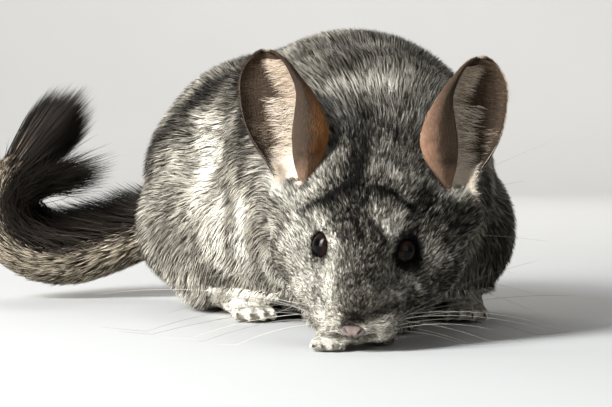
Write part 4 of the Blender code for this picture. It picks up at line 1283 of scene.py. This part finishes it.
def floor_and_light():
    """A plain pale floor, one large soft light from the animal's right and front, and a weak fill."""
    profile = [(0.0, 0.0), (1.2, 0.0), (2.2, 0.0)]
    profile += [(2.2 + 0.9 * math.sin(turn), 0.9 - 0.9 * math.cos(turn)) for turn in np.radians(range(6, 91, 6))]
    profile += [(3.1, 2.4)]
    shape = bmesh.new()
    edge = [shape.verts.new((out, 0, up - 0.0004)) for out, up in profile]
    edges = [shape.edges.new(pair) for pair in zip(edge, edge[1:])]
    bmesh.ops.spin(shape, geom=edge + edges, cent=(0, 0, 0), axis=(0, 0, 1), angle=2 * math.pi, steps=96)
    bmesh.ops.remove_doubles(shape, verts=shape.verts, dist=0.00001)
    bmesh.ops.recalc_face_normals(shape, faces=shape.faces)
    mesh = bpy.data.meshes.new("floor")
    shape.to_mesh(mesh)
    shape.free()
    mesh.shade_smooth()
    floor = new_object("floor", mesh)
    finish = Finish("pale_floor", 0.85, Specular_IOR_Level=0.2)
    cloud = finish.noise(1.6, 3.0)
    floor.data.materials.append(finish.feed(
        Base_Color=finish.ramp(cloud, ((0.2, (0.42, 0.415, 0.40)), (0.8, (0.46, 0.455, 0.44))))
    ))

    def area(name, place, size, watts, colour, aimed=(0.0, 0.0, 0.05)):
        data = bpy.data.lights.new(name, "AREA")
        data.shape = "RECTANGLE"
        data.size, data.size_y = size
        data.energy = watts
        data.color = colour
        lamp = new_object(name, data)
        lamp.location = SETTING + Vector(place)
        aim = SETTING + Vector(aimed) - lamp.location
        lamp.rotation_mode = "QUATERNION"
        lamp.rotation_quaternion = aim.to_track_quat("-Z", "Y")

    area("window", (-1.08, -0.78, 0.72), (0.55, 0.6), 43, (1.0, 0.985, 0.955))
    area("low window", (-1.05, -0.75, 0.20), (0.6, 0.3), 7.5, (1.0, 0.985, 0.955))
    area("fill", (0.9, -1.0, 0.5), (0.8, 0.8), 2.4, (0.95, 0.97, 1.0))
    area("glint", (-0.72, -0.58, 0.80), (0.30, 0.40), 15.0, (0.80, 0.89, 1.0))
    area("back", (-0.5, 1.1, 1.0), (0.8, 0.4), 3, (1.0, 0.99, 0.97))
    area("wall", (0.0, 0.9, 1.9), (1.6, 0.6), 76, (1.0, 1.0, 1.0), (0.0, 3.1, 0.5))
    world = bpy.data.worlds.new("studio")
    bpy.context.scene.world = world
    world.use_nodes = True
    sky = world.node_tree.nodes["Background"]
    sky.inputs[0].default_value = (0.97, 0.98, 1.0, 1)
    sky.inputs[1].default_value = 0.22
    bpy.context.scene.view_settings.view_transform = "Standard"


def camera():
    made = new_object("camera", bpy.data.cameras.new("camera"))
    made.data.sensor_width = SENSOR
    made.data.lens = SENSOR * FOCAL_PIXELS / VIEW_WIDTH
    made.data.clip_start = 0.01
    made.location = CAMERA_PLACE
    made.rotation_euler = (CAMERA_TILT, 0, 0)
    bpy.context.scene.camera = made


def tree_of(piece):
    shape = bmesh.new()
    shape.from_mesh(piece.data)
    made = BVHTree.FromBMesh(shape)
    shape.free()
    return made


def settled(piece):
    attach(piece, "root")
    return piece


def build():
    skin = flesh()
    outside = tree_of(skin)
    marks, shaded_creases = laid(PATCHES, outside), laid(FOLDS, outside)
    sink(skin)
    folds = laid(FOLDS, tree_of(skin))
    press(skin, folds)
    unwrapped(skin)
    points = vertices_of(skin.data)
    above = points + normals_of(skin.data) * coat_depth(points)[:, None]
    # The skin's tone: darker than the coat, partly the real dark undercoat and partly painted shade under the coat,
    # with painted shade along the folds
    undercoat_and_shade = tone_of(above, marks) * (0.88 - 0.43 * headness(points)) - 0.15 * fold_depth(points, folds)
    write_attribute(skin.data, "tone", undercoat_and_shade)
    skin.data.materials.clear()
    skin.data.materials.append(skin_finish())
    skin.data.shade_smooth()
    settled(skin)
    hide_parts(*FLESH, *FEET, *TAIL)

    ground = Ground(skin)
    fur = fur_finish("fur", FUR_TONES, 1500.0)
    tail_fur = fur_finish("tail_fur", TAIL_TONES, 1500.0)
    ear_hair = fur_finish("ear_hair", EAR_HAIR_TONES, 1500.0)
    for piece, slot in body_coat(ground, marks, shaded_creases, folds, fur) + tail_coat(ground, tail_fur):
        settled(piece)

    eye_gloss, rim = eye_finish(), lid_finish()
    for side, word in ((-1, "right"), (1, "left")):
        sheet = ear_sheet(side)
        cup = settled(ear(sheet, side, word, ear_finish("ear_skin_" + word, EAR_MARGINS[side])))
        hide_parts("ear_" + word)
        settled(ear_coat(sheet, side, word, ear_hair))
        ball = settled(eye(side, word, eye_gloss))
        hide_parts("eye_" + word)
        settled(lid(side, word, rim))
    pad = settled(nose(nose_finish()))
    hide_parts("nose")
    settled(claws(claw_finish()))
    settled(whiskers(tree_of(skin), whisker_finish()))


build()
floor_and_light()
camera()
